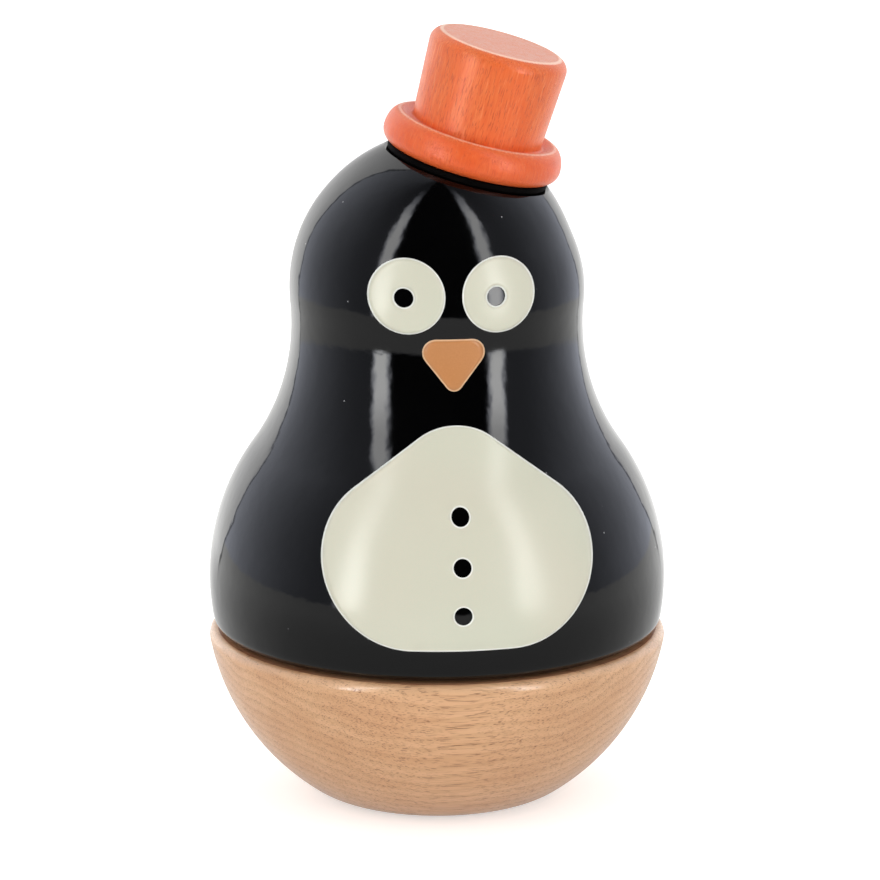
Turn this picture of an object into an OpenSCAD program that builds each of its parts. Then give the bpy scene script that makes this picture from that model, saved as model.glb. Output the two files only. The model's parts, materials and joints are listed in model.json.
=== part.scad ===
// Wind-up wooden penguin music box: the penguin turns on a beech bowl and carries the movement inside.
// Millimetres. Z is up, the flat foot stands on z = 0, the turning axis is Z and the face looks along -Y.

/* [Body] */
// Radius of the ball that forms the head
head_r = 28.8; // [27:0.1:30.5]
// Height of the head's centre above the belly's centre
head_rise = 57.8; // [55:0.1:61]
// Radius of the ball that forms the belly
belly_r = 45; // [44.5:0.1:48]
// Height of the belly's centre above the rim of the base
belly_rise = 10.1; // [9:0.1:11.5]
// Radius of the hollow sweep between head and belly
neck_r = 42.5; // [36:0.5:48]
// Radius of the rounded hem under the belly
hem_r = 4; // [3:0.1:5]
// Radius of the sound throat bored up into the neck
throat_r = 18; // [12:0.5:20]
// Length of the cone between the movement chamber and the throat
throat_cone = 15; // [13:0.5:18]

/* [Base] */
// Height of the rim of the base above the table
rim_z = 33.5; // [33:0.1:35]
// How much the ball of the base is larger than the belly
bowl_swell = 0.8; // [0.4:0.1:1.4]
// How far the table cuts off the bottom of that ball
foot_cut = 6.1; // [5.2:0.1:6.8]
// Radius of the rounding from the flat foot to the side
heel_r = 12; // [10:0.5:14]
// Radius of the rounding on the outer edge of the rim
rim_round = 2.5; // [1.5:0.1:3]
// Gap between the rim and the penguin's hem
seam_gap = 0.6; // [0.5:0.05:1]
// Width of the wooden ring that stands on the table
foot_w = 3.4; // [2.5:0.1:4.5]
// Thickness of the felt disc in the foot
pad_t = 1.8; // [1.4:0.1:2.2]
// How far the felt disc lies back from the table
pad_inset = 0.4; // [0.2:0.1:0.8]
// Width of the ledge that the felt disc is glued to
pad_ledge = 1.2; // [0.8:0.1:1.6]
// Height of the ballast weight
ballast_h = 11; // [9:0.5:12]

/* [Hat] */
// Lean of the hat away from upright, in degrees
hat_tilt = 14.3; // [10:0.1:18]
// Direction of the lean, in degrees from +X towards +Y
hat_heading = -15; // [-30:1:0]
// Depth of the flat cut on the head for the hat
hat_cut = 4.6; // [3.8:0.1:5.4]
// Thickness of the disc between that flat and the hat
disc_t = 2; // [1.2:0.1:2.6]
// How far the disc stays back from the edge of the brim
disc_inset = 0.6; // [0.4:0.1:1.2]
// Radius of the brim
brim_r = 17.5; // [16.5:0.1:18.5]
// Thickness of the brim
brim_t = 6.6; // [5.6:0.1:7.4]
// Radius of the rounding on the brim's edge
brim_round = 1.7; // [1.3:0.1:2.4]
// How far the brim's top sinks towards the tall part
brim_dish = 0.8; // [0.2:0.1:0.9]
// Radius of the hat's tall part where it meets the brim
hat_r = 13.1; // [12:0.1:14]
// How much wider the tall part is at its top
hat_flare = 0.8; // [0:0.1:1.5]
// Height of the tall part above the brim
hat_rise = 17.4; // [15:0.1:19]
// Radius of the rounding on the hat's top edge
hat_round = 2.5; // [1:0.1:3]
// Radius of the dowel between head and hat
dowel_r = 4; // [3:0.1:5]
// Length of the dowel
dowel_len = 24; // [18:0.5:26]

/* [Prints] */
// Thickness of the printed films
print_t = 0.14; // [0.1:0.01:0.2]
// Gap between the films and the lacquered wood
print_gap = 0.06; // [0.05:0.01:0.1]
// Angle of each eye's centre from the middle of the face, in degrees
eye_angle = 17.8; // [16:0.1:20]
// Height of the eyes above the head's centre
eye_rise = 3.9; // [2:0.1:6]
// Radius of an eye
eye_r = 7.2; // [6:0.1:7.4]
// Radius of the pupil left open in an eye
pupil_r = 1.8; // [1.2:0.1:2.4]
// Height of the beak's top edge below the head's centre
beak_drop = 4.2; // [3.5:0.1:5]
// Width of the beak
beak_w = 12; // [10:0.1:13]
// Height of the beak
beak_h = 10; // [8:0.1:11]
// Width of the belly patch
bib_w = 52; // [46:0.5:54]
// Height of the belly patch's lower edge above the hem
bib_rise = 6.4; // [5.5:0.1:8]
// Height of the belly patch
bib_h = 40.5; // [36:0.5:42]
// Radius of the buttons left open in the belly patch
button_r = 1.7; // [1.2:0.1:2.2]
// Spacing of the buttons
button_step = 9; // [7:0.5:10]

/* [Floor board] */
// Thickness of the plywood floor board
board_t = 5; // [4:0.1:6]
// How far the board lies inside the hem
board_inset = 1; // [0.8:0.1:1.4]
// Width of the ledge in the shell that the board is screwed to
ledge_w = 4.4; // [4.3:0.1:5]
// Gap between the movement and the wall of its chamber
chamber_gap = 0.7; // [0.6:0.1:1.2]
// Gap over the sliding washer under the board
slide_gap = 0.1; // [0.05:0.01:0.2]
// Outer radius of the sliding washer
washer_r = 12; // [9:0.5:14]

/* [Drive] */
// Radius of the winding arbor
arbor_r = 2; // [1.8:0.1:2.2]
// Radial clearance of turning shafts
run_gap = 0.05; // [0.03:0.01:0.08]
// Radial clearance round screws, dowels and other fixed pieces
fit_gap = 0.1; // [0.06:0.01:0.15]
// Gap between pieces that pass each other
side_gap = 0.3; // [0.25:0.01:0.4]
// Thickness of the bedplate
bed_t = 3; // [2.5:0.1:3.5]
// Gap between bedplate and great wheel
wheel_gap = 0.9; // [0.8:0.1:1.3]
// Thickness of the great wheel's disc
wheel_t = 1.6; // [1.4:0.1:2]
// Tooth size of the great wheel and its pinion
drive_m = 0.6; // [0.59:0.005:0.61]
// Number of teeth on the great wheel
crown_n = 42; // [42:1:43]
// Width of the great wheel's ring of teeth
crown_face = 2; // [1.8:0.1:2.2]
// Number of teeth on the cylinder's pinion
pinion_n = 21; // [21:1:22]

/* [Spring] */
// Height of the spring drum
drum_h = 10.6; // [10:0.1:11.5]
// Wall of the spring drum
drum_wall = 0.8; // [0.6:0.1:1]
// Thickness of the mainspring's strip
spring_t = 0.35; // [0.25:0.01:0.45]
// Turns in the mainspring
spring_turns = 5; // [4:1:6]
// Radius of the bridge pillars
pillar_r = 1.5; // [1.3:0.1:1.6]
// Thickness of the bridge over the drum
bridge_t = 1.6; // [1.3:0.1:2]

/* [Music] */
// Number of notes
notes = 18; // [16:1:18]
// Spacing of the comb's teeth
note_pitch = 0.57; // [0.54:0.01:0.58]
// Radius of the music cylinder
tune_r = 5.5; // [5.2:0.1:5.6]
// Wall of the music cylinder
tune_wall = 0.7; // [0.5:0.1:0.9]
// Height of the pins on the cylinder
pin_h = 0.55; // [0.4:0.05:0.6]
// Radius of the pins
pin_r = 0.17; // [0.12:0.01:0.2]
// Pins for each note
pins_per_note = 4; // [2:1:4]
// Thickness of the comb
comb_t = 0.8; // [0.6:0.1:1]
// Length of the comb's longest tooth
tooth_len = 5.4; // [5:0.1:5.6]
// How much shorter the shortest tooth is
tooth_taper = 2; // [1:0.1:2.5]
// Depth of the comb's solid back
comb_back = 4.4; // [4:0.1:4.6]
// Thickness of the two cylinder bearings
bearing_t = 0.75; // [0.7:0.05:0.8]
// Radius of the cylinder's axle
axle_r = 1; // [0.8:0.05:1.2]

/* [Governor] */
// Tooth size of the cylinder wheel and the governor pinion
train_m = 0.45; // [0.445:0.005:0.455]
// Number of teeth on the cylinder wheel
train_n = 38; // [38:1:39]
// Number of teeth on the governor pinion
gov_n = 8; // [8:1:9]
// Width of the cylinder wheel
train_w = 1.1; // [1:0.1:1.2]
// Number of teeth on the worm wheel
worm_n = 16; // [15:1:16]
// Tooth size of the worm wheel
worm_m = 0.45; // [0.44:0.005:0.46]
// Width of the worm wheel
worm_w = 0.9; // [0.7:0.1:1]
// Middle radius of the worm
worm_r = 1.5; // [1.4:0.05:1.6]
// Half the depth of the worm's thread
worm_e = 0.4; // [0.36:0.01:0.42]
// Radius of the air vane
vane_r = 3.3; // [2.8:0.1:3.6]
// Radius of the governor's shaft
gov_r = 0.6; // [0.5:0.05:0.65]

/* [Hidden] */
$fn = 96;

// Heights and centres of the turned outline
seam_z = rim_z + seam_gap;
belly_z = rim_z + belly_rise;
head_z = belly_z + head_rise;
bowl_r = belly_r + bowl_swell;
bowl_z = bowl_r - foot_cut;
neck_drop = (pow(head_r + neck_r, 2) - pow(belly_r + neck_r, 2) + head_rise * head_rise) / (2 * head_rise);
neck_cz = head_z - neck_drop;
neck_cr = sqrt(pow(head_r + neck_r, 2) - neck_drop * neck_drop);
hat_seat = head_r - hat_cut;
disc_r = brim_r - disc_inset;
disc_ball_r = head_r + fit_gap;
disc_edge_z = min(hat_seat, sqrt(disc_ball_r * disc_ball_r - disc_r * disc_r));
hem_cz = seam_z + hem_r;
hem_cr = sqrt(pow(belly_r - hem_r, 2) - pow(belly_z - hem_cz, 2));
rim_cz = rim_z - rim_round;
rim_cr = sqrt(pow(bowl_r - rim_round, 2) - pow(bowl_z - rim_cz, 2));
foot_r = sqrt(pow(bowl_r - heel_r, 2) - pow(bowl_z - heel_r, 2));

// Pockets in the base, from the table upwards
pad_r = foot_r - foot_w;
pad_top = pad_inset + pad_t;
pocket_r = pad_r - pad_ledge;
ballast_z = pad_top + 0.8;
pocket_z = ballast_z + ballast_h;
nut_flange_t = 1.5;
nut_flange_r = 7.5;
nut_r = 3.2;
nut_len = 12;
ballast_screw_at = (nut_flange_r + 0.6 + pocket_r) / 2;

// Floor board and chamber
board_z = seam_z + board_inset;
bed_z = board_z + board_t;
bed_top = bed_z + bed_t;

// Drive train, along the movement's long axis
crown_r = crown_n * drive_m / 2;
crown_out = crown_r + crown_face / 2 + 0.15;
crown_root_z = bed_top + wheel_gap + wheel_t;
crown_pitch_z = crown_root_z + 1.1 * drive_m;
axis_z = crown_pitch_z + pinion_n * drive_m / 2;
inner_x = crown_out + side_gap;
tune_x0 = inner_x + bearing_t + side_gap;
tune_len = notes * note_pitch + 0.12;
tune_x1 = tune_x0 + tune_len;
outer_x = tune_x1 + side_gap;
train_x = outer_x + bearing_t + side_gap;
pin_top = tune_r + pin_h;

// Governor, on the +Y side of the cylinder
gov_y = (train_n + gov_n) * train_m / 2;
worm_y = gov_y + worm_n * worm_m / 2 + worm_r;
worm_x = (tune_x0 + tune_x1) / 2 + 2;
worm_pitch = PI * worm_m;
frame_half = 2.9;
frame_t = 1;
gov_x0 = worm_x - frame_half - 0.4;
gov_x1 = train_x + train_w;
vane_z = axis_z + 4.6;
vane_h = 3.4;
frame_top = vane_z + vane_h + 2.4;
worm_shaft_r = 0.5;

// Comb, on the -Y side of the cylinder
tip_y = -(pin_top + side_gap);
root_y = tip_y - tooth_len;
back_y = root_y - comb_back;
comb_x0 = tune_x0 - 0.1;
comb_x1 = tune_x1 + 0.1;
comb_z = axis_z - comb_t / 2;

// Spring drum on the turning axis
drum_r = crown_r - crown_face / 2 - 0.8;
drum_z = crown_root_z + 2.6 * drive_m + 0.6;
drum_top = drum_z + drum_h;
bridge_top = drum_top + bridge_t;
core_r = arbor_r + 0.6;
pillar_at = crown_out + side_gap + pillar_r;
pillar_angles = [100, 180, 260];
arm_r = 2.7;

// Outline of the movement and of the chamber round it
bed_half = max(-back_y, worm_y + 1.6) + 0.4;
bed_x0 = -(pillar_at + pillar_r + 0.3);
reach = max(
    norm([gov_x1, gov_y + (gov_n / 2 + 1) * train_m]),
    norm([comb_x1 + 0.4, back_y]),
    norm([worm_x, worm_y]) + vane_r
);
chamber_r = reach + chamber_gap;
board_r = chamber_r + ledge_w;
board_screw_at = (chamber_r + board_r) / 2;
chamber_top = frame_top + 1.8;
throat_z = chamber_top + throat_cone;
throat_top = head_z + 2;
bed_screws_at = [
    [inner_x - 2, bed_half - 2.6],
    [inner_x - 2, 2.6 - bed_half],
    [3.4 - pillar_at, pillar_at - 2.6],
    [3.4 - pillar_at, 2.6 - pillar_at]
];

// How far the screws reach into the shell and into the bridge pillars
board_grip = 10;
bridge_grip = 4;

// Screw sizes: shank radius, head radius, head height
wood_screw = [1.2, 2, 1.4];
bed_screw = [1.1, 1.9, 1.1];
small_screw = [0.8, 1.5, 0.9];

function polar(r, a) = [r * cos(a), r * sin(a)];

// Closed outline of a gear: each tooth has a root, a pitch and a tip width
function gear(n, m, thick, add, ded, tip_k, root_k, phase) = [
    for (i = [0 : n - 1])
        let (a = phase + 360 * i / n, h = 180 * thick / n, r = n * m / 2)
        each [
            polar(r - ded * m, a - h * root_k),
            polar(r, a - h),
            polar(r + add * m, a - h * tip_k),
            polar(r + add * m, a + h * tip_k),
            polar(r, a + h),
            polar(r - ded * m, a + h * root_k)
        ]
];

// Closed outline of a spiral strip
function spiral(r0, r1, turns, t) =
    let (steps = 28 * turns, step = (r1 - r0) / steps)
    concat(
        [for (i = [0 : steps]) polar(r0 + i * step - t / 2, i * 360 / 28)],
        [for (i = [steps : -1 : 0]) polar(r0 + i * step + t / 2, i * 360 / 28)]
    );

// Puts a shape drawn in X and Y across the X axis at x, centred on y and z
module across_x(x, y = 0, z = 0) {
    translate([x, y, z])
        rotate([90, 0, 90])
            children();
}

// Puts a shape in the hat's own frame: its origin at the head's centre, its Z along the hat
module hat_frame() {
    translate([0, 0, head_z])
        rotate([0, 0, hat_heading])
            rotate([0, hat_tilt, 0])
                children();
}

// Half outline of the penguin's body, grown outwards by skin
module body_outline(skin = 0) {
    hr = head_r + skin;
    br = belly_r + skin;
    top_z = head_z - hr * neck_drop / (head_r + neck_r);
    low_z = belly_z + br * (neck_cz - belly_z) / (belly_r + neck_r);
    hem_z = belly_z + br * (hem_cz - belly_z) / (belly_r - hem_r);
    intersection() {
        translate([0, head_z])
            circle(hr);
        translate([0, top_z - 1])
            square([hr + 1, 2 * hr]);
    }
    difference() {
        translate([0, low_z])
            square([neck_cr, top_z - low_z]);
        translate([neck_cr, neck_cz])
            circle(neck_r - skin);
    }
    intersection() {
        translate([0, belly_z])
            circle(br);
        translate([0, hem_z])
            square([br + 1, low_z + 1 - hem_z]);
    }
    intersection() {
        union() {
            translate([hem_cr, hem_cz])
                circle(hem_r + skin);
            translate([0, seam_z - skin])
                square([hem_cr, 2 * hem_r]);
        }
        translate([0, seam_z - skin])
            square([br + 1, hem_z + 0.5 - seam_z + skin]);
    }
}

// Points along an arc from angle a0 to a1
function arc(c, r, a0, a1, n = 24) = [for (i = [0 : n]) c + polar(r, a0 + (a1 - a0) * i / n)];

// Two circles side by side and a third above them, joined by their tangents
module round_triangle(dx, z1, r1, z2, r2) {
    n = atan2(z2 - z1, -dx) - acos((r1 - r2) / norm([dx, z2 - z1]));
    polygon(concat(
        arc([dx, z1], r1, -90, n),
        arc([0, z2], r2, n, 180 - n),
        arc([-dx, z1], r1, 180 - n, 270)
    ));
}

// A printed film: the outline given as a child, seen from the front, laid on the body
module film() {
    intersection() {
        rotate_extrude()
            difference() {
                body_outline(print_gap + print_t);
                body_outline(print_gap);
            }
        rotate([90, 0, 0])
            linear_extrude(belly_r + 10)
                children();
    }
}

// A screw with a flat head: its head sits on z = 0 and its shank points down
module screw(size, len) {
    translate([0, 0, -len])
        cylinder(r = size[0], h = len + 0.1);
    difference() {
        cylinder(r = size[1], h = size[2]);
        translate([-size[1], -0.15, 0.55 * size[2]])
            cube([2 * size[1], 0.3, size[2]]);
    }
}

module ring_of(n, r, from = 0) {
    for (i = [0 : n - 1])
        rotate([0, 0, from + 360 * i / n])
            translate([r, 0, 0])
                children();
}

// Base group

module base_bowl() {
    color("#d2a27c")
        difference() {
            rotate_extrude()
                difference() {
                    bowl_outline();
                    translate([0, -1])
                        square([pad_r + fit_gap, pad_top + 1]);
                    square([pocket_r + fit_gap, pocket_z]);
                    square([nut_r + fit_gap, pocket_z + nut_len]);
                    square([arbor_r + 4 * fit_gap, rim_z + 1]);
                }
            ring_of(3, ballast_screw_at, 30)
                translate([0, 0, pocket_z - 1])
                    cylinder(r = wood_screw[0] + fit_gap, h = 9);
        }
}

// Half outline of the base: foot, heel, side and rim
module bowl_outline() {
    heel_a = atan2(heel_r - bowl_z, foot_r);
    edge_a = atan2(rim_cz - bowl_z, rim_cr);
    polygon(concat(
        [[0, 0]],
        arc([foot_r, heel_r], heel_r, -90, heel_a, 12),
        arc([0, bowl_z], bowl_r, heel_a, edge_a, 30),
        arc([rim_cr, rim_cz], rim_round, edge_a, 90, 12),
        [[0, rim_z]]
    ));
}

module ballast_weight() {
    color("#6f7276")
        difference() {
            translate([0, 0, ballast_z])
                cylinder(r = pocket_r - fit_gap, h = ballast_h);
            translate([0, 0, pocket_z - nut_flange_t - 0.3])
                cylinder(r = nut_flange_r + 0.4, h = ballast_h);
            ring_of(3, ballast_screw_at, 30) {
                translate([0, 0, ballast_z - 1])
                    cylinder(r = wood_screw[0] + fit_gap, h = ballast_h + 2);
                translate([0, 0, ballast_z - 1])
                    cylinder(r = wood_screw[1] + fit_gap, h = 1 + wood_screw[2]);
            }
        }
}

module ballast_screws() {
    color("#b9bcc0")
        ring_of(3, ballast_screw_at, 30)
            translate([0, 0, ballast_z + wood_screw[2]])
                mirror([0, 0, 1])
                    screw(wood_screw, ballast_h - wood_screw[2] + 7);
}

module foot_pad() {
    color("#4b4f55")
        translate([0, 0, pad_inset])
            cylinder(r = pad_r, h = pad_t);
}

module tee_nut() {
    color("#b9bcc0")
        difference() {
            union() {
                translate([0, 0, pocket_z - nut_flange_t])
                    cylinder(r = nut_flange_r, h = nut_flange_t);
                translate([0, 0, pocket_z - 0.1])
                    cylinder(r = nut_r, h = nut_len - 0.4);
            }
            translate([0, 0, pocket_z - 5])
                cylinder(r = arbor_r + run_gap, h = nut_len + 10);
        }
}

module slide_washer() {
    color("#e9e6dc")
        difference() {
            translate([0, 0, rim_z])
                cylinder(r = washer_r, h = board_z - rim_z - slide_gap);
            translate([0, 0, rim_z - 1])
                cylinder(r = arbor_r + 4 * fit_gap, h = 5);
        }
}

module winding_arbor() {
    color("#c9ccd0") {
        translate([0, 0, pocket_z - nut_flange_t])
            cylinder(r = arbor_r, h = bridge_top + 0.8 - pocket_z + nut_flange_t);
        translate([0, 0, drum_z + 1])
            cylinder(r = core_r, h = drum_h - 2.4);
    }
}

module great_wheel() {
    half = 0.21 * PI * drive_m;
    color("#c9a24a")
        difference() {
            union() {
                translate([0, 0, bed_top + wheel_gap])
                    cylinder(r = crown_out, h = wheel_t);
                translate([0, 0, bed_top + slide_gap])
                    cylinder(r = arbor_r + 1.4, h = wheel_gap);
                for (i = [0 : crown_n - 1])
                    rotate([0, 0, (i + 0.5) * 360 / crown_n])
                        across_x(crown_r - crown_face / 2, 0, crown_pitch_z)
                            linear_extrude(crown_face)
                                polygon([
                                    [-half * 1.5, -1.3 * drive_m], [half * 1.5, -1.3 * drive_m],
                                    [half, 0], [half * 0.5, 0.8 * drive_m],
                                    [-half * 0.5, 0.8 * drive_m], [-half, 0]
                                ]);
            }
            translate([0, 0, bed_top - 1])
                cylinder(r = arbor_r + 0.02, h = 20);
            rotate([0, 0, 150])
                translate([9, -5, bed_top])
                    cylinder(r = 0.6 + fit_gap, h = 10);
        }
}

ratchet_t = 1.2;

module ratchet_wheel() {
    color("#aeb2b7")
        translate([0, 0, crown_root_z])
            difference() {
                linear_extrude(ratchet_t)
                    rotate(150)
                        polygon([for (i = [0 : 9]) each [polar(4.5, 36 * i), polar(5.5, 36 * i)]]);
                translate([0, 0, -1])
                    cylinder(r = arbor_r + 0.02, h = 5);
            }
}

module ratchet_click() {
    color("#8f9398")
        translate([0, 0, crown_root_z])
            rotate([0, 0, 150])
                difference() {
                    linear_extrude(ratchet_t - 0.2)
                        polygon([[5.08, -0.15], [6.2, -0.15], [10, -4.2], [9.9, -5.7], [8.3, -5.9], [5.3, -1.2]]);
                    translate([9, -5, -1])
                        cylinder(r = 0.6 + fit_gap, h = 5);
                }
}

module click_rivet() {
    color("#c9a24a")
        rotate([0, 0, 150])
            translate([9, -5, 0]) {
                translate([0, 0, bed_top + wheel_gap])
                    cylinder(r = 0.6, h = wheel_t + ratchet_t);
                translate([0, 0, crown_root_z + ratchet_t - 0.2])
                    cylinder(r = 1, h = 0.5);
            }
}

// Penguin group

module body_shell() {
    color("#151515")
        difference() {
            rotate_extrude()
                difference() {
                    body_outline();
                    polygon([
                        [0, seam_z - 1], [board_r + fit_gap, seam_z - 1], [board_r + fit_gap, bed_z],
                        [chamber_r, bed_z], [chamber_r, chamber_top], [throat_r, throat_z],
                        [throat_r, throat_top], [0, throat_top]
                    ]);
                }
            hat_frame() {
                translate([0, 0, hat_seat])
                    cylinder(r = brim_r + 5, h = 20);
                translate([0, 0, hat_seat - dowel_len / 2 - 0.4])
                    cylinder(r = dowel_r + fit_gap, h = dowel_len);
            }
            ring_of(4, board_screw_at, 45)
                translate([0, 0, bed_z - 1])
                    cylinder(r = wood_screw[0] + fit_gap, h = board_grip + 1.5);
        }
}

module hat() {
    side = hat_r + hat_flare;
    top = brim_t + hat_rise;
    color("#ec6942")
        hat_frame()
            translate([0, 0, hat_seat + disc_t])
                rotate_extrude()
                    difference() {
                        union() {
                            polygon([
                                [0, 0], [brim_r - brim_round, 0], [brim_r - brim_round, brim_t],
                                [hat_r, brim_t - brim_dish], [0, brim_t - brim_dish]
                            ]);
                            translate([0, brim_round])
                                square([brim_r, brim_t - 2 * brim_round]);
                            translate([brim_r - brim_round, brim_round])
                                circle(brim_round);
                            translate([brim_r - brim_round, brim_t - brim_round])
                                circle(brim_round);
                            polygon([
                                [0, brim_t - 1], [hat_r, brim_t - 1], [side, top - hat_round],
                                [side - hat_round, top], [0, top]
                            ]);
                            translate([side - hat_round, top - hat_round])
                                circle(hat_round);
                        }
                        translate([0, -1])
                            square([dowel_r + fit_gap, dowel_len / 2 - disc_t + 1.4]);
                    }
}

module hat_disc() {
    color("#151515")
        hat_frame()
            difference() {
                translate([0, 0, disc_edge_z])
                    cylinder(r = disc_r, h = hat_seat + disc_t - disc_edge_z);
                intersection() {
                    sphere(disc_ball_r);
                    translate([0, 0, hat_seat - 20])
                        cylinder(r = disc_ball_r, h = 20);
                }
                translate([0, 0, hat_seat - 1])
                    cylinder(r = dowel_r + fit_gap, h = disc_t + 2);
            }
}

module hat_dowel() {
    color("#dcb78f")
        hat_frame()
            translate([0, 0, hat_seat - dowel_len / 2])
                cylinder(r = dowel_r, h = dowel_len);
}

module eye_prints() {
    color("#dad8c4")
        for (s = [-1, 1])
            film()
                translate([s * head_r * sin(eye_angle), head_z + eye_rise])
                    difference() {
                        circle(eye_r);
                        translate([-0.6, -0.2])
                            circle(pupil_r);
                    }
}

module beak_print() {
    tip = 1.8;
    side = 2.6;
    color("#c88c5a")
        film()
            translate([0, head_z - beak_drop])
                mirror([0, 1])
                    round_triangle(beak_w / 2 - side, side, side, beak_h - tip, tip);
}

module belly_print() {
    low = seam_z + bib_rise;
    side = bib_w * 0.31;
    top = bib_w * 0.23;
    color("#dad8c4")
        film()
            difference() {
                round_triangle(bib_w / 2 - side, low + side, side, low + bib_h - top, top);
                for (i = [0 : 2])
                    translate([0, low + 6.8 + i * button_step])
                        circle(button_r);
            }
}

module floor_board() {
    color("#d9b98c")
        difference() {
            translate([0, 0, board_z])
                cylinder(r = board_r, h = board_t);
            translate([0, 0, board_z - 1])
                cylinder(r = arbor_r + 2 + fit_gap, h = board_t + 2);
            ring_of(4, board_screw_at, 45) {
                translate([0, 0, board_z - 1])
                    cylinder(r = wood_screw[0] + fit_gap, h = board_t + 2);
                translate([0, 0, board_z - 1])
                    cylinder(r = wood_screw[1] + fit_gap, h = 1 + wood_screw[2]);
            }
            for (p = bed_screws_at)
                translate([p[0], p[1], board_z - 1])
                    cylinder(r = bed_screw[0] + fit_gap, h = board_t + 2);
        }
}

module board_screws() {
    color("#b9bcc0")
        ring_of(4, board_screw_at, 45)
            translate([0, 0, board_z + wood_screw[2]])
                mirror([0, 0, 1])
                    screw(wood_screw, board_t - wood_screw[2] + board_grip);
}

module arbor_bush() {
    color("#c9a24a")
        difference() {
            translate([0, 0, board_z])
                cylinder(r = arbor_r + 2, h = board_t + bed_t);
            translate([0, 0, board_z - 1])
                cylinder(r = arbor_r + run_gap, h = board_t + bed_t + 2);
        }
}

module bedplate() {
    color("#a9acae")
        difference() {
            union() {
                translate([0, 0, bed_z])
                    linear_extrude(bed_t)
                        intersection() {
                            circle(reach);
                            translate([bed_x0, -bed_half])
                                square([reach - bed_x0, 2 * bed_half]);
                        }
                translate([comb_x0, back_y, bed_top - 0.1])
                    cube([comb_x1 - comb_x0, comb_back - 0.4, comb_z - bed_top + 0.1]);
            }
            translate([0, 0, bed_z - 1])
                cylinder(r = arbor_r + 2 + fit_gap, h = bed_t + 2);
            for (p = bed_screws_at)
                translate([p[0], p[1], bed_z - 1])
                    cylinder(r = bed_screw[0] + fit_gap, h = bed_t + 2);
            for (a = pillar_angles)
                rotate([0, 0, a])
                    translate([pillar_at, 0, bed_z - 1])
                        cylinder(r = 0.8 + fit_gap, h = bed_t + 2);
            comb_screw_spots()
                translate([0, 0, comb_z - 5])
                    cylinder(r = small_screw[0] + fit_gap, h = 6);
            bearing_screw_spots()
                translate([0, 0, bed_z - 1])
                    cylinder(r = small_screw[0] + fit_gap, h = 6);
            governor_screw_spots()
                translate([0, 0, bed_z - 1])
                    cylinder(r = small_screw[0] + fit_gap, h = 6);
        }
}

module comb_screw_spots() {
    for (t = [0.22, 0.78])
        translate([comb_x0 + t * (comb_x1 - comb_x0), back_y + 0.44 * comb_back, 0])
            children();
}

foot_len = 5;

module bearing_screw_spots() {
    for (x = [inner_x + foot_len - 1.9, outer_x + bearing_t - foot_len + 1.9])
        translate([x, 0, 0])
            children();
}

module governor_screw_spots() {
    for (y = [-1.15, 2.05])
        translate([worm_x, gov_y + y, 0])
            children();
}

module bedplate_screws() {
    color("#b9bcc0")
        for (p = bed_screws_at)
            translate([p[0], p[1], bed_top])
                screw(bed_screw, bed_t + board_t - 0.8);
}

module spring_drum() {
    color("#c4b27a")
        difference() {
            translate([0, 0, drum_z])
                cylinder(r = drum_r, h = drum_h);
            translate([0, 0, drum_z - 1])
                cylinder(r = drum_r - drum_wall, h = drum_h);
            cylinder(r = arbor_r + run_gap, h = drum_top + 1);
            drum_rivet_spots()
                cylinder(r = 0.6 + fit_gap, h = drum_top + 1);
        }
}

module drum_rivet_spots() {
    ring_of(3, drum_r * 0.66, 60)
        children();
}

module drum_lid() {
    color("#c4b27a")
        difference() {
            translate([0, 0, drum_z])
                cylinder(r = drum_r - drum_wall - fit_gap, h = 0.7);
            cylinder(r = arbor_r + 4 * fit_gap, h = drum_top);
        }
}

module drum_rivets() {
    color("#c9a24a")
        drum_rivet_spots() {
            translate([0, 0, drum_top - 1])
                cylinder(r = 0.6, h = bridge_t + 1.1);
            translate([0, 0, bridge_top])
                cylinder(r = 1.1, h = 0.6);
        }
}

module mainspring() {
    color("#7d8794")
        translate([0, 0, drum_z + 1.2])
            linear_extrude(drum_h - 2.8)
                polygon(spiral(
                    core_r + 0.3 + spring_t / 2,
                    drum_r - drum_wall - 0.2 - spring_t / 2,
                    spring_turns, spring_t
                ));
}

module drum_bridge() {
    color("#c9a24a")
        difference() {
            translate([0, 0, drum_top])
                linear_extrude(bridge_t)
                    union() {
                        circle(drum_r);
                        for (a = pillar_angles)
                            rotate(a) {
                                translate([0, -arm_r])
                                    square([pillar_at, 2 * arm_r]);
                                translate([pillar_at, 0])
                                    circle(arm_r);
                            }
                    }
            cylinder(r = arbor_r + run_gap, h = bridge_top + 1);
            drum_rivet_spots()
                cylinder(r = 0.6 + fit_gap, h = bridge_top + 1);
            for (a = pillar_angles)
                rotate([0, 0, a])
                    translate([pillar_at, 0, 0])
                        cylinder(r = small_screw[0] + fit_gap, h = bridge_top + 1);
        }
}

module bridge_pillars() {
    color("#b9bcc0")
        for (a = pillar_angles)
            rotate([0, 0, a])
                translate([pillar_at, 0, 0])
                    difference() {
                        union() {
                            translate([0, 0, bed_top])
                                cylinder(r = pillar_r, h = drum_top - bed_top);
                            translate([0, 0, bed_z + 0.3])
                                cylinder(r = 0.8, h = bed_t);
                        }
                        translate([0, 0, drum_top - bridge_grip - 1])
                            cylinder(r = small_screw[0] + fit_gap, h = bridge_grip + 2);
                    }
}

module bridge_screws() {
    color("#b9bcc0")
        for (a = pillar_angles)
            rotate([0, 0, a])
                translate([pillar_at, 0, bridge_top])
                    screw(small_screw, bridge_t + bridge_grip);
}

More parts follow.
